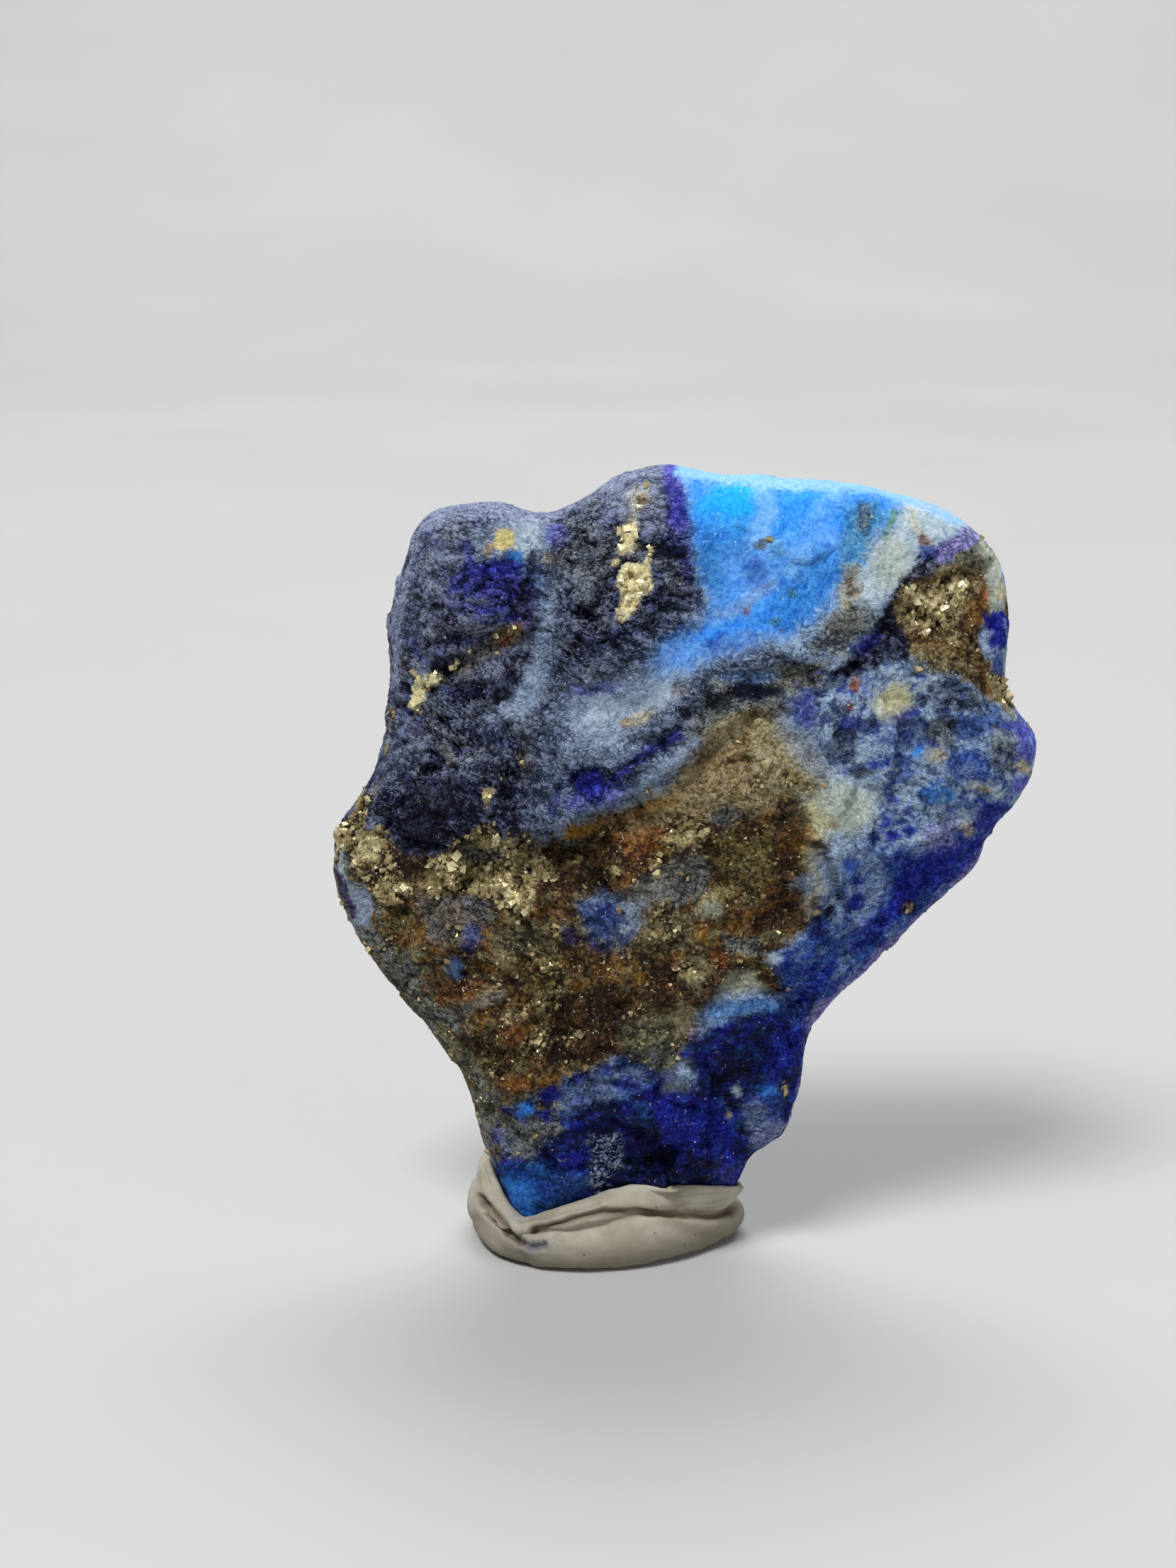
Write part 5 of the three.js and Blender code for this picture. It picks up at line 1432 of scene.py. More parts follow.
    def break_skin(self, share: Array) -> None:
        """Adds the small broken relief, higher where the mineral is rough.

        Crumples are |noise| on places squeezed along one direction, which leaves round
        lumps between sharp creases. Slabs, chips and a fine cloud are added to them, and
        pyrite stands up in blocks. Each line adds one of these, its height in millimetres
        first and the spacing, or the chip's size, under the stroke.

        Args:
            share: How far out to the outline each vertex lies.
        """
        rough, streak, metal = self.laid["rough"], self.laid["streak"], self.laid["metal"]
        x, y, z = self.points.T
        tilt = self.grain_wander * gradient_noise(self.points / 9, 4.4) + self.grain_tilt
        along, across = x * np.cos(tilt) + z * np.sin(tilt), z * np.cos(tilt) - x * np.sin(tilt)
        drawn = np.stack([along / 1.1, y / 0.6, across / 0.55], axis=1)
        crumple = np.minimum(3.2 * np.abs(gradient_noise(drawn, 2.2)), 1)
        height = rough * (0.3 + 0.7 * streak) * 0.13 * (crumple - 0.6)
        height += rough * (0.14 + 0.3 * streak) * chip_height(drawn * 0.85 + 5.5)
        slabs = np.stack([along / 2.7, y / 1.6, across / 1.5], axis=1)
        height += 0.32 * rough * chip_height(slabs)
        height += 0.1 * rough * chip_height(self.points / 1.2)
        height += 0.16 * rough * (1 - streak) * chip_height(self.points / 0.7 + 7.7)
        height += 0.07 * rough * gradient_noise(self.points / 0.36, 1.3)
        height += 0.05 * (0.3 + 0.7 * rough) * cloud_noise(self.points / 1.6, 2, 6.3)
        blocks = smooth_step(0.5, 0.65, metal)
        height += blocks * (0.16 + 0.3 * chip_height(self.points / 0.62 + 3.1))
        calm = 1 - 0.75 * smooth_step(0.9, 1, share)
        calm *= 0.3 + 0.7 * smooth_step(*self.foot, z)
        normals = vertex_normals(self.points, self.triangles)
        self.points = self.points + normals * (calm * height)[:, None]
        # Painted shade of the relief, kept for the finish: its hollows darker, its ridges paler.
        self.laid["relief_shade"] = np.clip(0.55 + height / 0.36, 0, 1)

    def build(self) -> bpy.types.Object:
        """Builds the skin and puts the rock's finish on it."""
        share = self.form()
        self.roughen(share)
        self.paint(share)
        self.break_skin(share)
        piece = make_mesh("lapis_skin", self.points, self.triangles)
        for name in ("dark", "light", "dark_2", "light_2", "share", "crisp", "grain",
                     "streak", "rough", "glint_speck", "metal", "relief_shade"):
            store(piece, name, self.laid[name])
        piece.data.materials.append(RockFinish().material())
        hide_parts("lapis_stone")
        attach(piece, "root")
        return piece


@dataclass(frozen=True)
class RockFinish:
    """Finish of the rock: two tones per mineral, mixed by grains and fibres.

    Attributes:
        grain_size: Size of the separate grains, in millimetres.
        fine_size: Size of the finer ones.
        flakes: Tilt of flakes of three sizes, and how many of them lie on a millimetre
            along, into and across the rock's grain.
        fibres: The same of the fibres.
        frays: The same of the specks that fray the borders of minerals.
        joint: Width of the joints between the broadest flakes, as a share of a flake.
        sparse: Share that specks take where a mineral is all specks.
        pale: Colour of the specks, which are painted glints, and of the threads.
        bump: Height of the finest relief, in metres.
    """

    grain_size: float = 0.27
    fine_size: float = 0.13
    flakes: tuple = (
        (-0.12, (1.7, 3.0, 3.4)), (-0.25, (3.4, 6.0, 6.8)), (0.1, (7.0, 10.5, 12.0)))
    fibres: tuple = (0.85, (0.6, 2.6, 3.4))
    frays: tuple = (0.3, (3.0, 5.0, 6.0))
    joint: float = 0.12
    sparse: float = 0.4
    pale: tuple[float, ...] = (0.8, 0.82, 0.78, 1.0)
    bump: float = 0.00014

    def plates(self, g: Graph, mm: Socket, torn: Socket) -> tuple[Socket, Socket]:
        """Flakes of three sizes over one another.

        Args:
            g: The rock's graph.
            mm: Coordinates in millimetres.
            torn: The same, moved about.

        Returns:
            Heights of the flakes, and 1 on the joints between the broadest of them.
        """
        broad, middle, small = (g.turned(torn, *flake) for flake in self.flakes)
        flake = g.blend(0.5, g.flakes(broad), g.flakes(middle))
        height = g.remap(g.blend(0.3, flake, g.flakes(small)), -0.3, 0.3, 0.12, 1.12)
        broken = g.remap(g.noise(mm, 1.9, 2.0), 0.42, 0.56)
        return height, g.times(g.joints(broad, self.joint), broken)

    def threads(self, g: Graph, mm: Socket, torn: Socket) -> Socket:
        """Thin broken pale threads, 0 to 0.4, except in pyrite."""
        away = g.creases(g.turned(torn, 0.5, (1.4, 1.4, 1.4)), 1.0, 44.0)
        some = g.remap(g.noise(mm, 2.3, 2.0), 0.6, 0.66, 0, 0.4)
        thread = g.times(g.math("SUBTRACT", 1.0, away), some)
        return g.times(thread, g.remap(g.number("metal"), 0.1, 0.3, 1, 0))

    def material(self) -> bpy.types.Material:
        """Makes the material.

        The paler tone shows where a pattern from 0 to 1 passes one minus its share.
        The pattern is a cloud, fibres drawn out along the rock's grain, the flakes of a
        broken skin, or one random number per grain, as the mineral's traits say.
        """
        g = Graph("rock")
        mm = g.millimetres()
        grain, rough, metal = g.number("grain"), g.number("rough"), g.number("metal")
        bent = g.warped(mm, mm, 0.9, 1.0, 0.9)
        torn = g.warped(mm, bent, 4.5, 2.0, 0.22)
        cloud = g.remap(g.noise(bent, 4.2, 4.0, 0.7), 0.32, 0.68)
        plates, joint = self.plates(g, mm, torn)
        # the pattern
        bed = g.plus(joint, -0.55, plates)
        fibre = g.remap(g.noise(g.turned(bent, *self.fibres), 1.0, 4.0, 0.62), 0.33, 0.67)
        drawn = g.blend(g.remap(rough, 0.3, 0.5), fibre, bed)
        pattern = g.blend(g.number("streak"), cloud, drawn)
        grains = g.cells(bent, 1 / self.grain_size)
        fine = g.cells(mm, 1 / self.fine_size)
        grain_value = g.node("SeparateColor", {0: grains.outputs["Color"]})
        fine_value = g.node("SeparateColor", {0: fine.outputs["Color"]})
        speckle = g.blend(0.5, grain_value.outputs[0], fine_value.outputs[0])
        pattern = g.blend(g.times(grain, 0.7), pattern, speckle)
        # Painted shade of the relief: hollows darker and ridges paler, more where the rock is rough.
        relief_shade = g.times(g.remap(rough, 0.2, 0.8), 0.3)
        pattern = g.blend(relief_shade, pattern, g.number("relief_shade"))
        # the two tones
        gain = g.remap(g.number("crisp"), 0, 1, 1.1, 5.0)
        past = g.math("SUBTRACT", pattern, g.math("SUBTRACT", 1.0, g.number("share")))
        pale = g.plus(past, gain, 0.5, clamp=True)
        fray = g.blend(0.5, g.noise(g.turned(mm, *self.frays), 1.0, 3.0, 0.7),
                       g.noise(bent, 2.0, 3.0, 0.6))
        fray = g.remap(fray, 0.44, 0.56)
        dark = g.mix(fray, g.colour("dark"), g.colour("dark_2"))
        light = g.mix(fray, g.colour("light"), g.colour("light_2"))
        colour = g.mix(pale, dark, light)
        spread = g.plus(grain, 0.6, 0.08)
        jitter = g.plus(g.math("SUBTRACT", fine_value.outputs[1], 0.5), spread, 1.0)
        shade = g.node("CombineColor", {0: jitter, 1: jitter, 2: jitter}).outputs[0]
        colour = g.mix(1.0, colour, shade, "MULTIPLY")
        # specks, which are painted glints of crystal faces, and pale threads
        rare = g.math("SUBTRACT", 1.0, g.times(g.number("glint_speck"), self.sparse))
        lucky = g.math("GREATER_THAN", fine_value.outputs[2], rare)
        close = g.math("LESS_THAN", fine.outputs["Distance"], 0.4)
        glint_speck = g.times(g.times(lucky, close), grain_value.outputs[1])
        speck_colour = g.mix(0.6, light, self.pale)
        colour = g.mix(glint_speck, colour, speck_colour)
        colour = g.mix(self.threads(g, mm, torn), colour, speck_colour)
        # relief and gloss
        height = g.plus(pale, 0.3, pattern)
        height = g.plus(plates, 0.5, height)
        height = g.plus(joint, -0.5, height)
        dome = g.times(g.math("SUBTRACT", 0.6, grains.outputs["Distance"]), grain)
        height = g.plus(dome, 0.8, height)
        height = g.times(height, g.remap(rough, 0, 1, 0.12, 1))
        bump = g.node("Bump", {"Strength": 1.0, "Distance": self.bump, "Height": height})
        gloss = g.plus(cloud, 0.12, g.remap(glint_speck, 0, 1, 0.74, 0.3))
        gloss = g.math("SUBTRACT", gloss, g.times(metal, 0.45))
        shader = g.node("BsdfPrincipled", {
            "Base Color": colour, "Roughness": gloss, "Specular IOR Level": 0.14,
            "Metallic": g.times(metal, g.times(pale, 0.5)),
            "Normal": bump.outputs[0]})
        return g.finish(shader)


# ---- pyrite

CUBE_CORNERS = np.array([
    (-1, -1, -1), (1, -1, -1), (1, 1, -1), (-1, 1, -1),
    (-1, -1, 1), (1, -1, 1), (1, 1, 1), (-1, 1, 1)]) / 2
CUBE_FACES = np.array([
    (0, 3, 2), (0, 2, 1), (4, 5, 6), (4, 6, 7), (0, 1, 5), (0, 5, 4),
    (1, 2, 6), (1, 6, 5), (2, 3, 7), (2, 7, 6), (3, 0, 4), (3, 4, 7)])


@dataclass
class PyriteGrains:
    """Small pyrite crystals grown all over the rock, joined in one mesh.

    Attributes:
        sink: How deep a crystal's middle lies under the skin, as a share of its edge.
        clump_size: Spacing of the clumps they grow in, in millimetres.
        spread: How far their sizes spread, as a power of e, inside the limits.
        sides: Shortest and longest side of a crystal, as shares of its edge.
        chip: How far its corners are moved, as a share of a side.
        tarnish: Least tarnish where the skin itself is no pyrite, 0 to 1.
    """

    stone: LapisStone
    seed: int = 23
    most: int = 14000
    sink: float = 0.12
    clump_size: float = 1.1
    spread: float = 0.42
    limits: tuple[float, float] = (0.5, 2.4)
    sides: tuple[float, float] = (0.6, 1.1)
    chip: float = 0.27
    tarnish: float = 0.45

    def spots(self, random: np.random.Generator) -> tuple[Array, ...]:
        """Random places on the skin, more of them where the pyrite is denser.

        Args:
            random: Where the chances come from.

        Returns:
            Places, normals and edges of the crystals, and how metallic the skin is there.
        """
        stone = self.stone
        corners = stone.points[stone.triangles]
        cross = np.cross(corners[:, 1] - corners[:, 0], corners[:, 2] - corners[:, 0])
        area = np.linalg.norm(cross, axis=1) / 2
        brass = stone.laid["brass"][stone.triangles].mean(axis=1)
        clump = cloud_noise(corners.mean(axis=1) / self.clump_size, 2, 12.5)
        expected = area * brass * (0.25 + 1.6 * smooth_step(-0.15, 0.35, clump))
        count = min(self.most, int(expected.sum()))
        chosen = random.choice(len(area), count, p=expected / expected.sum())
        weights = random.dirichlet((1, 1, 1), count)
        places = (corners[chosen] * weights[:, :, None]).sum(axis=1)
        normals = cross[chosen] / (2 * area[chosen, None])
        chunk = stone.laid["chunk"][stone.triangles].mean(axis=1)[chosen]
        edges = chunk * np.clip(
            np.exp(self.spread * random.standard_normal(count)), *self.limits)
        metal = stone.laid["metal"][stone.triangles].mean(axis=1)[chosen]
        return places, normals, edges, metal

    def build(self) -> bpy.types.Object:
        """Builds all crystals at once: turned boxes with chipped corners, sunk in the skin."""
        random = np.random.default_rng(self.seed)
        places, normals, edges, metal = self.spots(random)
        count = len(places)
        quaternion = random.standard_normal((count, 4))
        w, x, y, z = (quaternion / np.linalg.norm(quaternion, axis=1, keepdims=True)).T
        turn = np.stack([
            1 - 2 * (y * y + z * z), 2 * (x * y - w * z), 2 * (x * z + w * y),
            2 * (x * y + w * z), 1 - 2 * (x * x + z * z), 2 * (y * z - w * x),
            2 * (x * z - w * y), 2 * (y * z + w * x), 1 - 2 * (x * x + y * y),
        ], axis=1).reshape(-1, 3, 3)
        sizes = edges[:, None] * random.uniform(*self.sides, (count, 3))
        chipped = CUBE_CORNERS[None] + random.uniform(-self.chip, self.chip, (count, 8, 3))
        corners = chipped * sizes[:, None]
        corners = np.einsum("nij,nkj->nki", turn, corners)
        corners += (places - normals * (self.sink * edges)[:, None])[:, None]
        faces = (CUBE_FACES[None] + 8 * np.arange(count)[:, None, None]).reshape(-1, 3)
        piece = make_mesh("pyrite_grains", corners.reshape(-1, 3), faces, smooth=False)
        tarnish = random.uniform(0, 1, count) ** 0.8 + self.tarnish - 0.9 * metal
        tarnish = np.clip(tarnish - 0.4 * smooth_step(0.45, 0.65, metal), 0, 1)
        store(piece, "tarnish", np.repeat(tarnish, len(CUBE_CORNERS)))
        piece.data.materials.append(BrassFinish().material())
        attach(piece, "root")
        LOG.info("pyrite_grains: %d crystals", count)
        return piece


@dataclass(frozen=True)
class BrassFinish:
    """Finish of the pyrite: pale brassy metal, browned where it has tarnished."""

    bright: tuple[int, int, int] = (240, 232, 188)
    brown: tuple[int, int, int] = (116, 94, 56)

    def material(self) -> bpy.types.Material:
        """Makes the material."""
        g = Graph("pyrite")
        mm = g.millimetres()
        patches = g.remap(g.noise(mm, 2.6, 3.0), 0.35, 0.65)
        share = g.plus(patches, 0.35, g.number("tarnish"), clamp=True)
        share = g.math("SUBTRACT", share, 0.15, clamp=True)
        colour = g.mix(share, opaque(self.bright), opaque(self.brown))
        height = g.noise(mm, 9.0, 2.0)
        bump = g.node("Bump", {"Strength": 0.5, "Distance": 0.00004, "Height": height})
        shader = g.node("BsdfPrincipled", {
            "Base Color": colour, "Metallic": g.remap(share, 0, 1, 0.7, 0.35),
            "Roughness": g.remap(patches, 0, 1, 0.36, 0.5),
            "Normal": bump.outputs[0]})
        return g.finish(shader)


# ---- putty

@dataclass(frozen=True)
class Crease:
    """A pressed line in the putty, in the frame of the front view.

    The skin sinks by depth exp(-(d / width)^2) and swells by a part of that beside it.
    """

    path: str
    width: float
    depth: float
    swell: float = 0.35


@dataclass
class PuttyPad:
    """The pad of putty: a section from its underside, over its lip, to the stone's foot.

    Attributes:
        wave: How far the pad's radius swells and shrinks, three times round it.
        turns: Points of each row round the pad.
        columns: Directions in which the stone's foot is measured.
        clearance: Gap between the stone and the putty, in millimetres.
        wall: Least thickness of the lip, as a share of the pad's radius.
        merge_angle: Direction where the lip runs straight into the pad's side, in radians.
        merge_reach: How far round the pad that goes, in radians.
        bulge: Share of the lip's height from which that side bulges.
        bulge_fall: How far it is drawn in at the top, as a share of the pad's radius.
        tuck: How far the lip's right end is drawn in, also as a share.
        knot: Darker bluish patch at the left, where folds meet: an ellipse of the front view.
        section: Share of the pad's radius, and share of the lip's height.
        section_size: The radius and height that the section's spacing is measured at.
        lip: Degrees round the pad, and height of the lip there.
    """

    stone: LapisStone
    centre_x: float = -0.35
    half_width: float = 8.2
    half_depth: float = 5.95
    wave: float = 0.05
    turns: int = 620
    outer_rows: int = 84
    mouth_rows: int = 16
    socket_rows: int = 26
    columns: int = 124
    clearance: float = 0.05
    wall: float = 0.06
    socket_floor: float = 0.7
    merge_angle: float = 3.3
    merge_reach: float = 0.42
    bulge: float = 0.37
    bulge_fall: float = 0.17
    tuck: float = 0.05
    tuck_reach: float = 0.2
    knot: tuple[float, ...] = (756, 1757, 26, 9, -0.1)
    section_size: tuple[float, float] = (6, 4.9)
    section: tuple = (
        (0.84, 0.0), (0.89, 0.02), (0.94, 0.07), (0.98, 0.15), (1.0, 0.26), (1.0, 0.37),
        (0.985, 0.47), (0.955, 0.56), (0.92, 0.625), (0.885, 0.67), (0.88, 0.7),
        (0.91, 0.735), (0.93, 0.79), (0.925, 0.86), (0.9, 0.93), (0.86, 0.98))
    lip: tuple = (
        (0, 3.4), (20, 3.8), (60, 4.8), (90, 5.1), (120, 5.0), (150, 4.8), (180, 4.8),
        (191, 4.85), (200, 4.4), (208, 3.5), (216, 2.5), (224, 2.3), (242, 3.15), (264, 4.1),
        (286, 4.85), (312, 4.7), (328, 4.35), (345, 3.7), (360, 3.4))
    creases: tuple = (
        Crease("754,1736 772,1731 788,1728 809,1719 844,1711 896,1709 947,1713 998,1716 "
               "1016,1713 1031,1706", 5, 0.5),
        Crease("717,1742 735,1752 750,1759 768,1757", 4.5, 0.36),
        Crease("682,1690 685,1697 696,1709 717,1734 735,1752", 5, 0.5),
        Crease("689,1716 701,1726 717,1742", 3.5, 0.25),
        Crease("737,1722 773,1717 809,1709 844,1699", 4, 0.14),
        Crease("684,1698 686,1700", 6, 0.3),
        Crease("1030,1705 1032,1707", 7, 0.35),
        Crease("946,1722 966,1736 992,1746 1012,1744", 10, 0.14),
        Crease("672,1720 690,1742 716,1764 744,1778", 9, 0.12),
    )
    levels: Array = field(init=False)
    reach: Array = field(init=False)

    def lip_height(self, angle: Array) -> Array:
        """Height of the lip round the pad, eased between its given heights."""
        degrees, heights = np.array(self.lip).T
        blur = np.radians(np.array((-6, -3, 0, 3, 6)))
        around = [np.interp(np.degrees(angle + b) % 360, degrees, heights) for b in blur]
        return np.average(around, axis=0, weights=(1, 2, 3, 2, 1))

    def socket(self, angle: Array, heights: Array) -> Array:
        """Share of the pad's radius that the stone reaches.

        The farthest of the stone's vertices in each direction and height, smoothed.

        Args:
            angle: Directions round the pad, evenly spaced.
            heights: Heights of the rows, evenly spaced and rising.

        Returns:
            One row per height, one column per direction.
        """
        full = 2 * math.pi
        points = self.stone.points
        points = points[points[:, 2] < heights[-1] + 0.4]
        x, y = (points[:, 0] - self.centre_x) / self.half_width, points[:, 1] / self.half_depth
        column = np.floor((np.arctan2(y, x) % full) / full * self.columns).astype(int)
        row = np.round((points[:, 2] - heights[0]) / (heights[1] - heights[0])).astype(int)
        row = np.clip(row, 0, len(heights) - 1)
        reach = np.zeros((len(heights), self.columns))
        np.maximum.at(reach, (row, column % self.columns), np.hypot(x, y))
        for _ in range(3):
            up, down = np.roll(reach, 1, 0), np.roll(reach, -1, 0)
            up[0], down[-1] = 0, 0
            left, right = np.roll(reach, 1, 1), np.roll(reach, -1, 1)
            near = np.maximum.reduce([up, down, left, right])
            reach = np.where(reach == 0, near, reach)
        reach = (np.roll(reach, 1, 1) + 2 * reach + np.roll(reach, -1, 1)) / 4
        centres = (np.arange(self.columns) + 0.5) / self.columns * 2 * math.pi
        wrapped = np.concatenate([centres - full, centres, centres + full])
        return np.stack([np.interp(angle, wrapped, np.tile(line, 3)) for line in reach])

    def reach_at(self, z: Array) -> Array:
        """Share of the radius that the socket reaches, at a height for each direction."""
        place = (z - self.levels[0]) / (self.levels[1] - self.levels[0])
        low = np.clip(np.floor(place).astype(int), 0, len(self.levels) - 2)
        part = np.clip(place - low, 0, 1)
        columns = np.arange(self.turns)
        return self.reach[low, columns] * (1 - part) + self.reach[low + 1, columns] * part

    def profile(self) -> tuple[Array, Array]:
        """The section as even, smoothed points: shares of the radius, shares of the height."""
        knots = np.array(self.section)
        stretches = np.diff(knots * self.section_size, axis=0)
        steps = np.concatenate([[0], np.cumsum(np.hypot(*stretches.T))])
        place = np.linspace(0, steps[-1], self.outer_rows)
        lines = [np.interp(place, steps, knots[:, side]) for side in (0, 1)]
        for _ in range(6):
            for line in lines:
                line[1:-1] = (line[:-2] + 2 * line[1:-1] + line[2:]) / 4
        return lines[0], lines[1]

    def outer_skin(self, angle: Array, lip: Array) -> list[tuple[Array, Array]]:
        """Rows of the outside, from the underside up.

        Args:
            angle: Directions round the pad.
            lip: Height of the lip in each of them.

        Returns:
            Shares of the radius and heights of each row.
        """
        merged = np.exp(-((angle - self.merge_angle) / self.merge_reach) ** 2)
        tucked = np.exp(-(np.sin(angle / 2) / self.tuck_reach) ** 2) * (np.cos(angle) > 0)
        rows = [(np.full(self.turns, share), np.zeros(self.turns)) for share in (0.3, 0.6, 0.85)]
        for r, h in zip(*self.profile()):
            full = 1 - self.bulge_fall * max(0.0, (h - 0.4) / 0.6) ** 2 if h > self.bulge else r
            body = r + merged * max(0.0, full - r) - self.tuck * tucked * smooth_step(0.6, 0.8, h)
            held = self.reach_at(lip * h) + self.wall * smooth_step(0.4, 0.7, h)
            rows.append((np.maximum(body, held), lip * h))
        return rows

    def inner_skin(self, outer: Array, lip: Array) -> list[tuple[Array, Array]]:
        """Rows over the lip, down the socket and over its floor.

        Args:
            outer: Shares of the radius of the outside's last row.
            lip: Height of the lip in each direction.

        Returns:
            Shares of the radius and heights of each row.
        """
        rows = []
        inner = self.reach_at(lip * 0.95)
        for part in np.linspace(0.08, 1, self.mouth_rows):
            bow = np.sin(math.pi * part) * 0.05 + 0.98 - 0.03 * part
            rows.append((outer + (inner - outer) * part, lip * bow))
        for part in np.linspace(0.06, 1, self.socket_rows):
            z = lip * 0.95 + (self.socket_floor - lip * 0.95) * part
            rows.append((np.minimum(self.reach_at(z), outer - 0.02), z))
        floor = np.full(self.turns, self.socket_floor)
        return rows + [(self.reach_at(floor) * share, floor) for share in (0.6, 0.25)]

    def build(self) -> bpy.types.Object:
        """Builds the pad as rows of points round it, from pole to pole."""
        angle = np.arange(self.turns) / self.turns * 2 * math.pi
        lip = self.lip_height(angle)
        wave = 1 + self.wave * np.sin(3 * angle + 1.13)
        self.levels = np.linspace(self.socket_floor, 7, 64)
        self.reach = self.socket(angle, self.levels) / wave + self.clearance / self.half_depth
        rows = self.outer_skin(angle, lip)
        rows += self.inner_skin(rows[-1][0], lip)
        radius, z = (np.stack(side) for side in zip(*rows))
        x = self.centre_x + self.half_width * radius * wave * np.cos(angle)
        y = self.half_depth * radius * wave * np.sin(angle)
        points = np.stack([x, y, z], axis=2).reshape(-1, 3)
        points = np.vstack([
            points, (self.centre_x, 0, 0), (self.centre_x, 0, self.socket_floor)])
        triangles = self.rows_triangles(len(rows))
        points, shades = self.press(points, triangles, len(rows))
        piece = make_mesh("putty", points, triangles)
        for name, values in shades.items():
            store(piece, name, values)
        piece.data.materials.append(PuttyFinish().material())
        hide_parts("putty_pad")
        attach(piece, "root")
        return piece

    def rows_triangles(self, rows: int) -> Array:
        """Triangles between neighbouring rows, and fans at both poles."""
        turn = np.arange(self.turns)
        following = (turn + 1) % self.turns
        below = (np.arange(rows - 1) * self.turns)[:, None]
        a, b = below + turn, below + following
        c, d = b + self.turns, a + self.turns
        sides = np.concatenate([
            np.stack([a, b, c], axis=2).reshape(-1, 3), np.stack([a, c, d], axis=2).reshape(-1, 3)])
        low, high, last = rows * self.turns, rows * self.turns + 1, (rows - 1) * self.turns
        bottom = np.stack([np.full(self.turns, low), following, turn], axis=1)
        top = np.stack([np.full(self.turns, high), last + turn, last + following], axis=1)
        return np.concatenate([sides, bottom, top])

    def press(
        self, points: Array, triangles: Array, rows: int,
    ) -> tuple[Array, dict[str, Array]]:
        """Presses creases and finger dents into the outside of the pad.

        Args:
            points: Vertices of the pad.
            triangles: Its triangles.
            rows: Number of rows of points.

        Returns:
            The moved vertices, and for each of them the painted shade of the creases it lies in,
            how far the darker knot patch covers it, and the painted shade low on the belly.
        """
        normals = vertex_normals(points, triangles)
        across, down = sight(points)
        row = np.concatenate([np.repeat(np.arange(rows), self.turns), [0, rows]])
        inside = rows - self.socket_rows - 2
        outside = smooth_step(3, 9, row) * smooth_step(inside, inside - 10, row)
        facing = smooth_step(0.25, -0.15, normals[:, 1]) * outside
        wobble = 3.0 * cloud_noise(points / 1.1, 2, 2.9)
        height = np.zeros(len(points))
        crease_shade = np.zeros(len(points))
        for line in self.creases:
            distance = path_distance(route(line.path), across, down + wobble)
            sunk = np.exp(-(distance / line.width) ** 2)
            swollen = np.exp(-(distance / (3.2 * line.width)) ** 2)
            height += line.depth * facing * (line.swell * swollen - sunk)
            # Painted shade along each crease, darker where it is pressed deeper.
            shade = np.exp(-(distance / (1.3 * line.width)) ** 2)
            crease_shade = np.maximum(crease_shade, shade * facing * min(1, line.depth * 2.4))
        height += outside * (0.12 * gradient_noise(points / 2.4, 5.5)
                             + 0.05 * cloud_noise(points / 0.9, 2, 7.7))
        # Darker bluish patch at the knot where the folds meet.
        knot_patch = np.exp(-ellipse_reach(*self.knot, across, down) ** 2) * facing
        # Painted shade: the outside darkens towards the underside.
        belly_shade = outside * smooth_step(2.6, 0.6, points[:, 2])
        moved = points + normals * height[:, None]
        moved[:, 2] = np.maximum(moved[:, 2], 0)
        return moved, {"crease_shade": crease_shade, "knot_patch": knot_patch, "belly_shade": belly_shade}


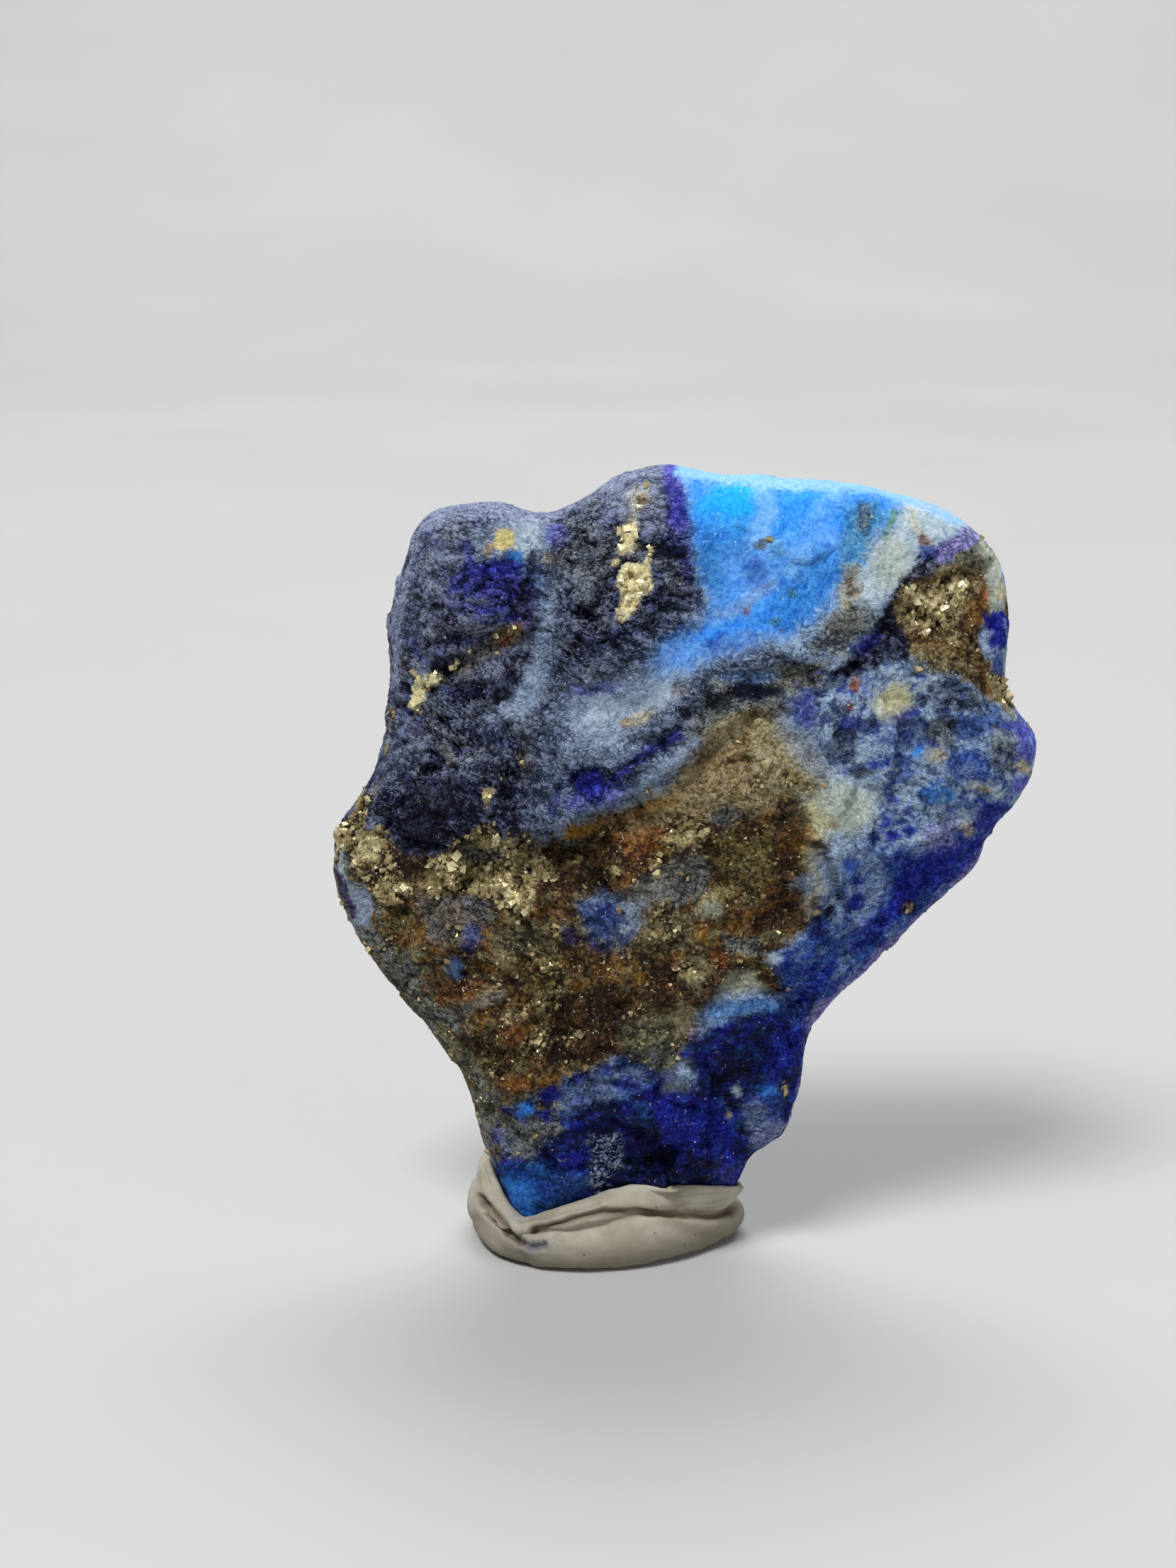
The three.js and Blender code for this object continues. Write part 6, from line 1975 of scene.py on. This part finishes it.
@dataclass(frozen=True)
class PuttyFinish:
    """Finish of the putty: matt, slightly dirty beige grey, with painted shade in its creases and low on
    its belly.
    """

    lit: tuple[int, int, int] = (170, 166, 152)
    worn: tuple[int, int, int] = (148, 142, 125)
    crease_shade_colour: tuple[int, int, int] = (96, 80, 62)
    shaded: tuple[int, int, int] = (110, 104, 89)
    smudged: tuple[int, int, int] = (140, 131, 112)
    knot_colour: tuple[int, int, int] = (84, 90, 112)
    dotted: tuple[int, int, int] = (70, 62, 54)

    def material(self) -> bpy.types.Material:
        """Makes the material."""
        g = Graph("putty")
        mm = g.millimetres()
        broad = g.remap(g.noise(mm, 0.42, 3.0), 0.35, 0.65)
        colour = g.mix(broad, opaque(self.lit), opaque(self.worn))
        # Painted shade in the creases.
        crease_shade = g.times(g.number("crease_shade"), 0.85)
        colour = g.mix(crease_shade, colour, opaque(self.crease_shade_colour))
        # Painted shade low on the belly.
        belly_shade = g.times(g.number("belly_shade"), 0.75)
        colour = g.mix(belly_shade, colour, opaque(self.shaded))
        smudge = g.remap(g.noise(mm, 1.3, 4.0, 0.65), 0.52, 0.75, 0, 0.45)
        colour = g.mix(smudge, colour, opaque(self.smudged))
        # Darker bluish patch at the knot of folds.
        knot_patch = g.times(g.number("knot_patch"), g.remap(g.noise(mm, 4.0, 3.0), 0.35, 0.65))
        colour = g.mix(knot_patch, colour, opaque(self.knot_colour))
        dots = g.cells(mm, 1.7)
        lucky = g.node("SeparateColor", {0: dots.outputs["Color"]})
        few = g.math("GREATER_THAN", lucky.outputs[0], 0.82)
        close = g.math("LESS_THAN", dots.outputs["Distance"], 0.1)
        dot = g.times(g.times(few, close), 0.75)
        colour = g.mix(dot, colour, opaque(self.dotted))
        height = g.plus(g.noise(mm, 5.0, 4.0, 0.6), 0.6, g.noise(mm, 14.0, 3.0, 0.6))
        bump = g.node("Bump", {"Strength": 0.5, "Distance": 0.00005, "Height": height})
        shader = g.node("BsdfPrincipled", {
            "Base Color": colour, "Roughness": g.remap(broad, 0, 1, 0.62, 0.78),
            "Specular IOR Level": 0.22, "Subsurface Weight": 0.12,
            "Subsurface Radius": (0.0012, 0.001, 0.0008), "Subsurface Scale": 0.6,
            "Normal": bump.outputs[0]})
        return g.finish(shader)


# ---- the studio

@dataclass
class Studio:
    """Pale floor, soft lights and the camera of the front view.

    Attributes:
        front: Where the floor begins, in millimetres.
        back: Where it starts to turn up into the wall, with the radius bend.
        target: What the lights look at, in metres.
        sensor: Width of the camera's sensor, in millimetres.
        sky: Colour of the light from all round.
    """

    front: float = -1500.0
    back: float = 450.0
    bend: float = 600.0
    half_width: float = 2200.0
    top: float = 2200.0
    target: tuple[float, float, float] = (0.003, 0.0, 0.025)
    sensor: float = 36.0
    sky: tuple[float, ...] = (0.78, 0.8, 0.83, 1.0)
    sky_strength: float = 0.28

    def floor(self) -> None:
        """A pale floor that turns up into a wall far behind, in one sweep."""
        bend = np.linspace(0, math.pi / 2, 25)
        depth = np.concatenate([
            [self.front], self.back + self.bend * np.sin(bend), [self.back + self.bend]])
        height = np.concatenate([[0], self.bend - self.bend * np.cos(bend), [self.top]])
        left = np.stack([np.full(len(depth), -self.half_width), depth, height], axis=1)
        points = np.vstack([left, left * (-1, 1, 1)])
        low = np.arange(len(depth) - 1)
        faces = np.stack([low + len(depth), low + len(depth) + 1, low + 1, low], axis=1)
        sweep = make_mesh("floor", points, faces)
        g = Graph("floor")
        tone = g.remap(g.noise(g.millimetres(), 0.01, 2.0), 0.3, 0.7)
        colour = g.mix(tone, (0.4, 0.397, 0.388, 1), (0.43, 0.427, 0.418, 1))
        sweep.data.materials.append(g.finish(g.node("BsdfPrincipled", {
            "Base Color": colour, "Roughness": 0.6})))

    def light(
        self, name: str, place: tuple, size: tuple, power: float, colour: tuple = (1, 1, 1),
    ) -> None:
        """An area light that looks at the middle of the stone.

        Args:
            name: Its name.
            place: Where it stands, in metres.
            size: Its two sides, in metres.
            power: Its power in watts.
            colour: Its colour.
        """
        lamp = bpy.data.lights.new(name, "AREA")
        lamp.shape = "RECTANGLE"
        lamp.size, lamp.size_y = size
        lamp.energy = power
        lamp.color = colour
        obj = bpy.data.objects.new(name, lamp)
        obj.location = place
        toward = np.array(self.target) - np.array(place)
        yaw = math.atan2(toward[1], toward[0]) - math.pi / 2
        pitch = math.atan2(toward[2], math.hypot(toward[0], toward[1]))
        obj.rotation_euler = (math.pi / 2 + pitch, 0, yaw)
        bpy.context.scene.collection.objects.link(obj)

    def camera(self) -> None:
        """The camera at EYE, looking down by its pitch."""
        lens = bpy.data.cameras.new("camera")
        lens.sensor_width = self.sensor
        lens.lens = FOCAL / FRAME_SIZE[1] * self.sensor
        lens.clip_start = 0.005
        lens.clip_end = 20
        obj = bpy.data.objects.new("camera", lens)
        obj.location = tuple(EYE * METRES)
        obj.rotation_euler = (math.pi / 2 - EYE_PITCH, 0, 0)
        bpy.context.scene.collection.objects.link(obj)
        bpy.context.scene.camera = obj

    def build(self) -> None:
        """Sets up the floor, the lights and the camera."""
        self.floor()
        self.camera()
        self.light("key", (-0.36, -0.56, 1.2), (0.45, 0.35), 19)
        self.light("rim", (0.12, 0.62, 1.0), (1.0, 0.5), 10, (0.95, 0.97, 1.0))
        self.light("fill", (1.0, -0.8, 0.45), (0.8, 0.8), 4)
        world = bpy.data.worlds.new("studio")
        world.use_nodes = True
        background = world.node_tree.nodes["Background"]
        background.inputs["Color"].default_value = self.sky
        background.inputs["Strength"].default_value = self.sky_strength
        bpy.context.scene.world = world
        bpy.context.scene.view_settings.view_transform = "Standard"


def main() -> None:
    """Builds the studio and every piece."""
    logging.basicConfig(level=logging.INFO, format="%(name)s: %(message)s")
    Studio().build()
    stone = LapisStone()
    makers = (stone, PyriteGrains(stone), PuttyPad(stone))
    for maker in makers:
        piece = maker.build()
        LOG.info("%s: %d faces", piece.name, len(piece.data.polygons))


if __name__ == "__main__":
    main()
